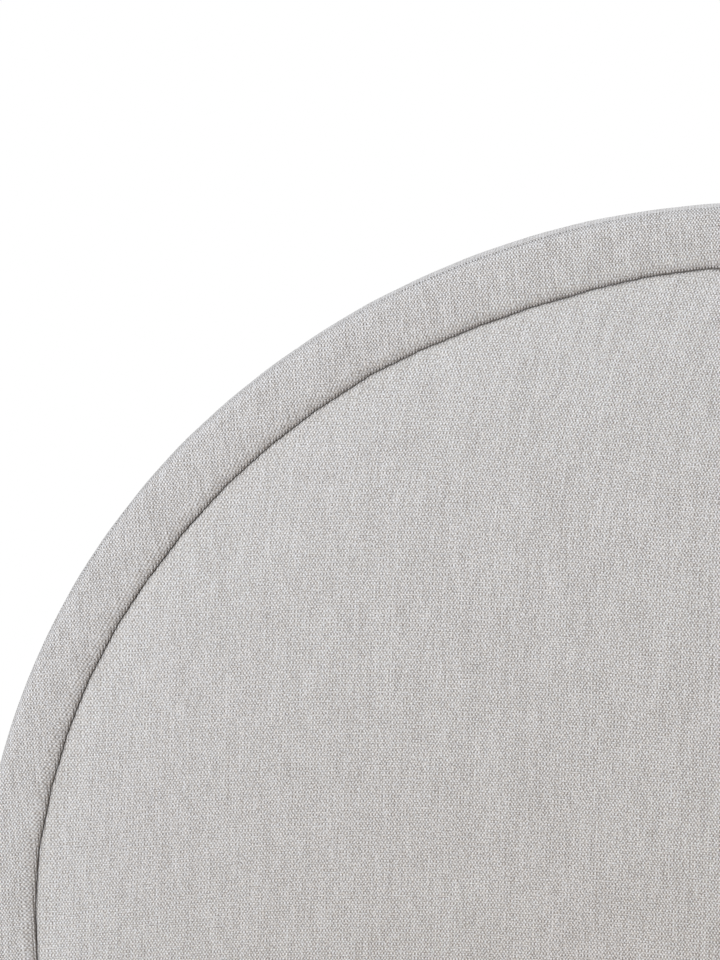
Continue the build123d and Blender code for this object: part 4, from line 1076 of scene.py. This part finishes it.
# Front board, arch ribs and the pad's own board: birch plywood cut to the curves, with
# quiet veneer on its faces and dark and pale plies on its edges.
ply_pitch = 0.0026
plywood = Finish("plywood_finish")
ply_split = plywood.add("SeparateXYZ", {0: plywood.place()})
ply_wave = plywood.sum("SINE", plywood.times(ply_split.node.outputs["Y"], 2 * math.pi / ply_pitch))
veneer = plywood.add("Mapping", {"Vector": plywood.place(), "Scale": (1, 1, 0.06)})
ply_grain = plywood.noise(veneer, 60, 4, 0.6)
ply_tone = plywood.times(ply_wave, 0.16, plywood.times(ply_grain, 0.6, 0.2))
plywood.set(Base_Color=plywood.ramp(ply_tone, (0.1, (0.42, 0.28, 0.15)), (0.9, (0.78, 0.62, 0.42))),
            Roughness=0.7, Specular_IOR_Level=0.35)
plywood.bump(ply_grain, 0.0003, 0.4)
dress("plywood", plywood.material)


# Rail boards: particle board under the rails' foam and cloth, pressed from chips of
# mixed tone and lightly sealed. It shows only inside the rails.
chip_board = Finish("rail_board_finish")
chip_place = chip_board.add("Mapping", {"Vector": chip_board.place(), "Scale": (1, 0.45, 1)})
chips = chip_board.add("TexVoronoi", {"Vector": chip_place, "Scale": 420.0}, "Color")
chip_dust = chip_board.noise(chip_board.place(), 800, 2)
chip_tone = chip_board.times(chip_board.add("SeparateXYZ", {0: chips}), 0.5)
chip_tone = chip_board.times(chip_dust, 0.5, chip_tone)
chip_board.set(
    Base_Color=chip_board.ramp(chip_tone, (0.1, (0.36, 0.24, 0.13)), (0.5, (0.60, 0.45, 0.28)),
                               (0.9, (0.76, 0.62, 0.43))), Roughness=0.75, Specular_IOR_Level=0.3)
chip_board.bump(chip_tone, 0.0003, 0.4)
dress("rail_board", chip_board.material)


# Legs: four turned oak legs, stained warm brown and oiled to a satin, each screwed by
# its stud into the plate under its corner.
leg_wood = timber("leg_oak", 2, (0.53, 0.33, 0.17), (0.30, 0.155, 0.065), 16.0, 0.34)
dress("leg_wood", leg_wood)


# Centre beam, its hangers and legs, and the leg plates: mild steel under a black powder
# coat, with a faint peel and the dullness of handling.
def black_skin(name, peel, wear, dark, pale, smooth, rough, depth):
    """A black skin: a fine pattern raises it, and a slow one shifts its tone and gloss."""
    skin_finish = Finish(name)
    peel, wear = (skin_finish.noise(skin_finish.place(), *pattern) for pattern in (peel, wear))
    skin_finish.set(Base_Color=skin_finish.ramp(wear, (0.3, dark), (0.8, pale)),
                    Roughness=skin_finish.ramp(wear, (0.2, (smooth,) * 3), (0.8, (rough,) * 3)))
    skin_finish.bump(peel, depth, 0.5)
    return skin_finish.material


powder_coat = black_skin("black_powder_coat", (900, 2, 0.5), (35, 4, 0.6), (0.016, 0.016, 0.017),
                         (0.034, 0.034, 0.036), 0.38, 0.55, 0.00015)
dress("black_steel", powder_coat)


# Glides, inserts and levelling feet: moulded black nylon, pressed or screwed in, with a
# fine spark texture and scuffs from the floor.
plastic = black_skin("black_plastic_finish", (1400, 2, 0.6), (60, 3, 0.6), (0.018, 0.018, 0.019),
                     (0.040, 0.040, 0.042), 0.42, 0.62, 0.0001)
dress("black_plastic", plastic)
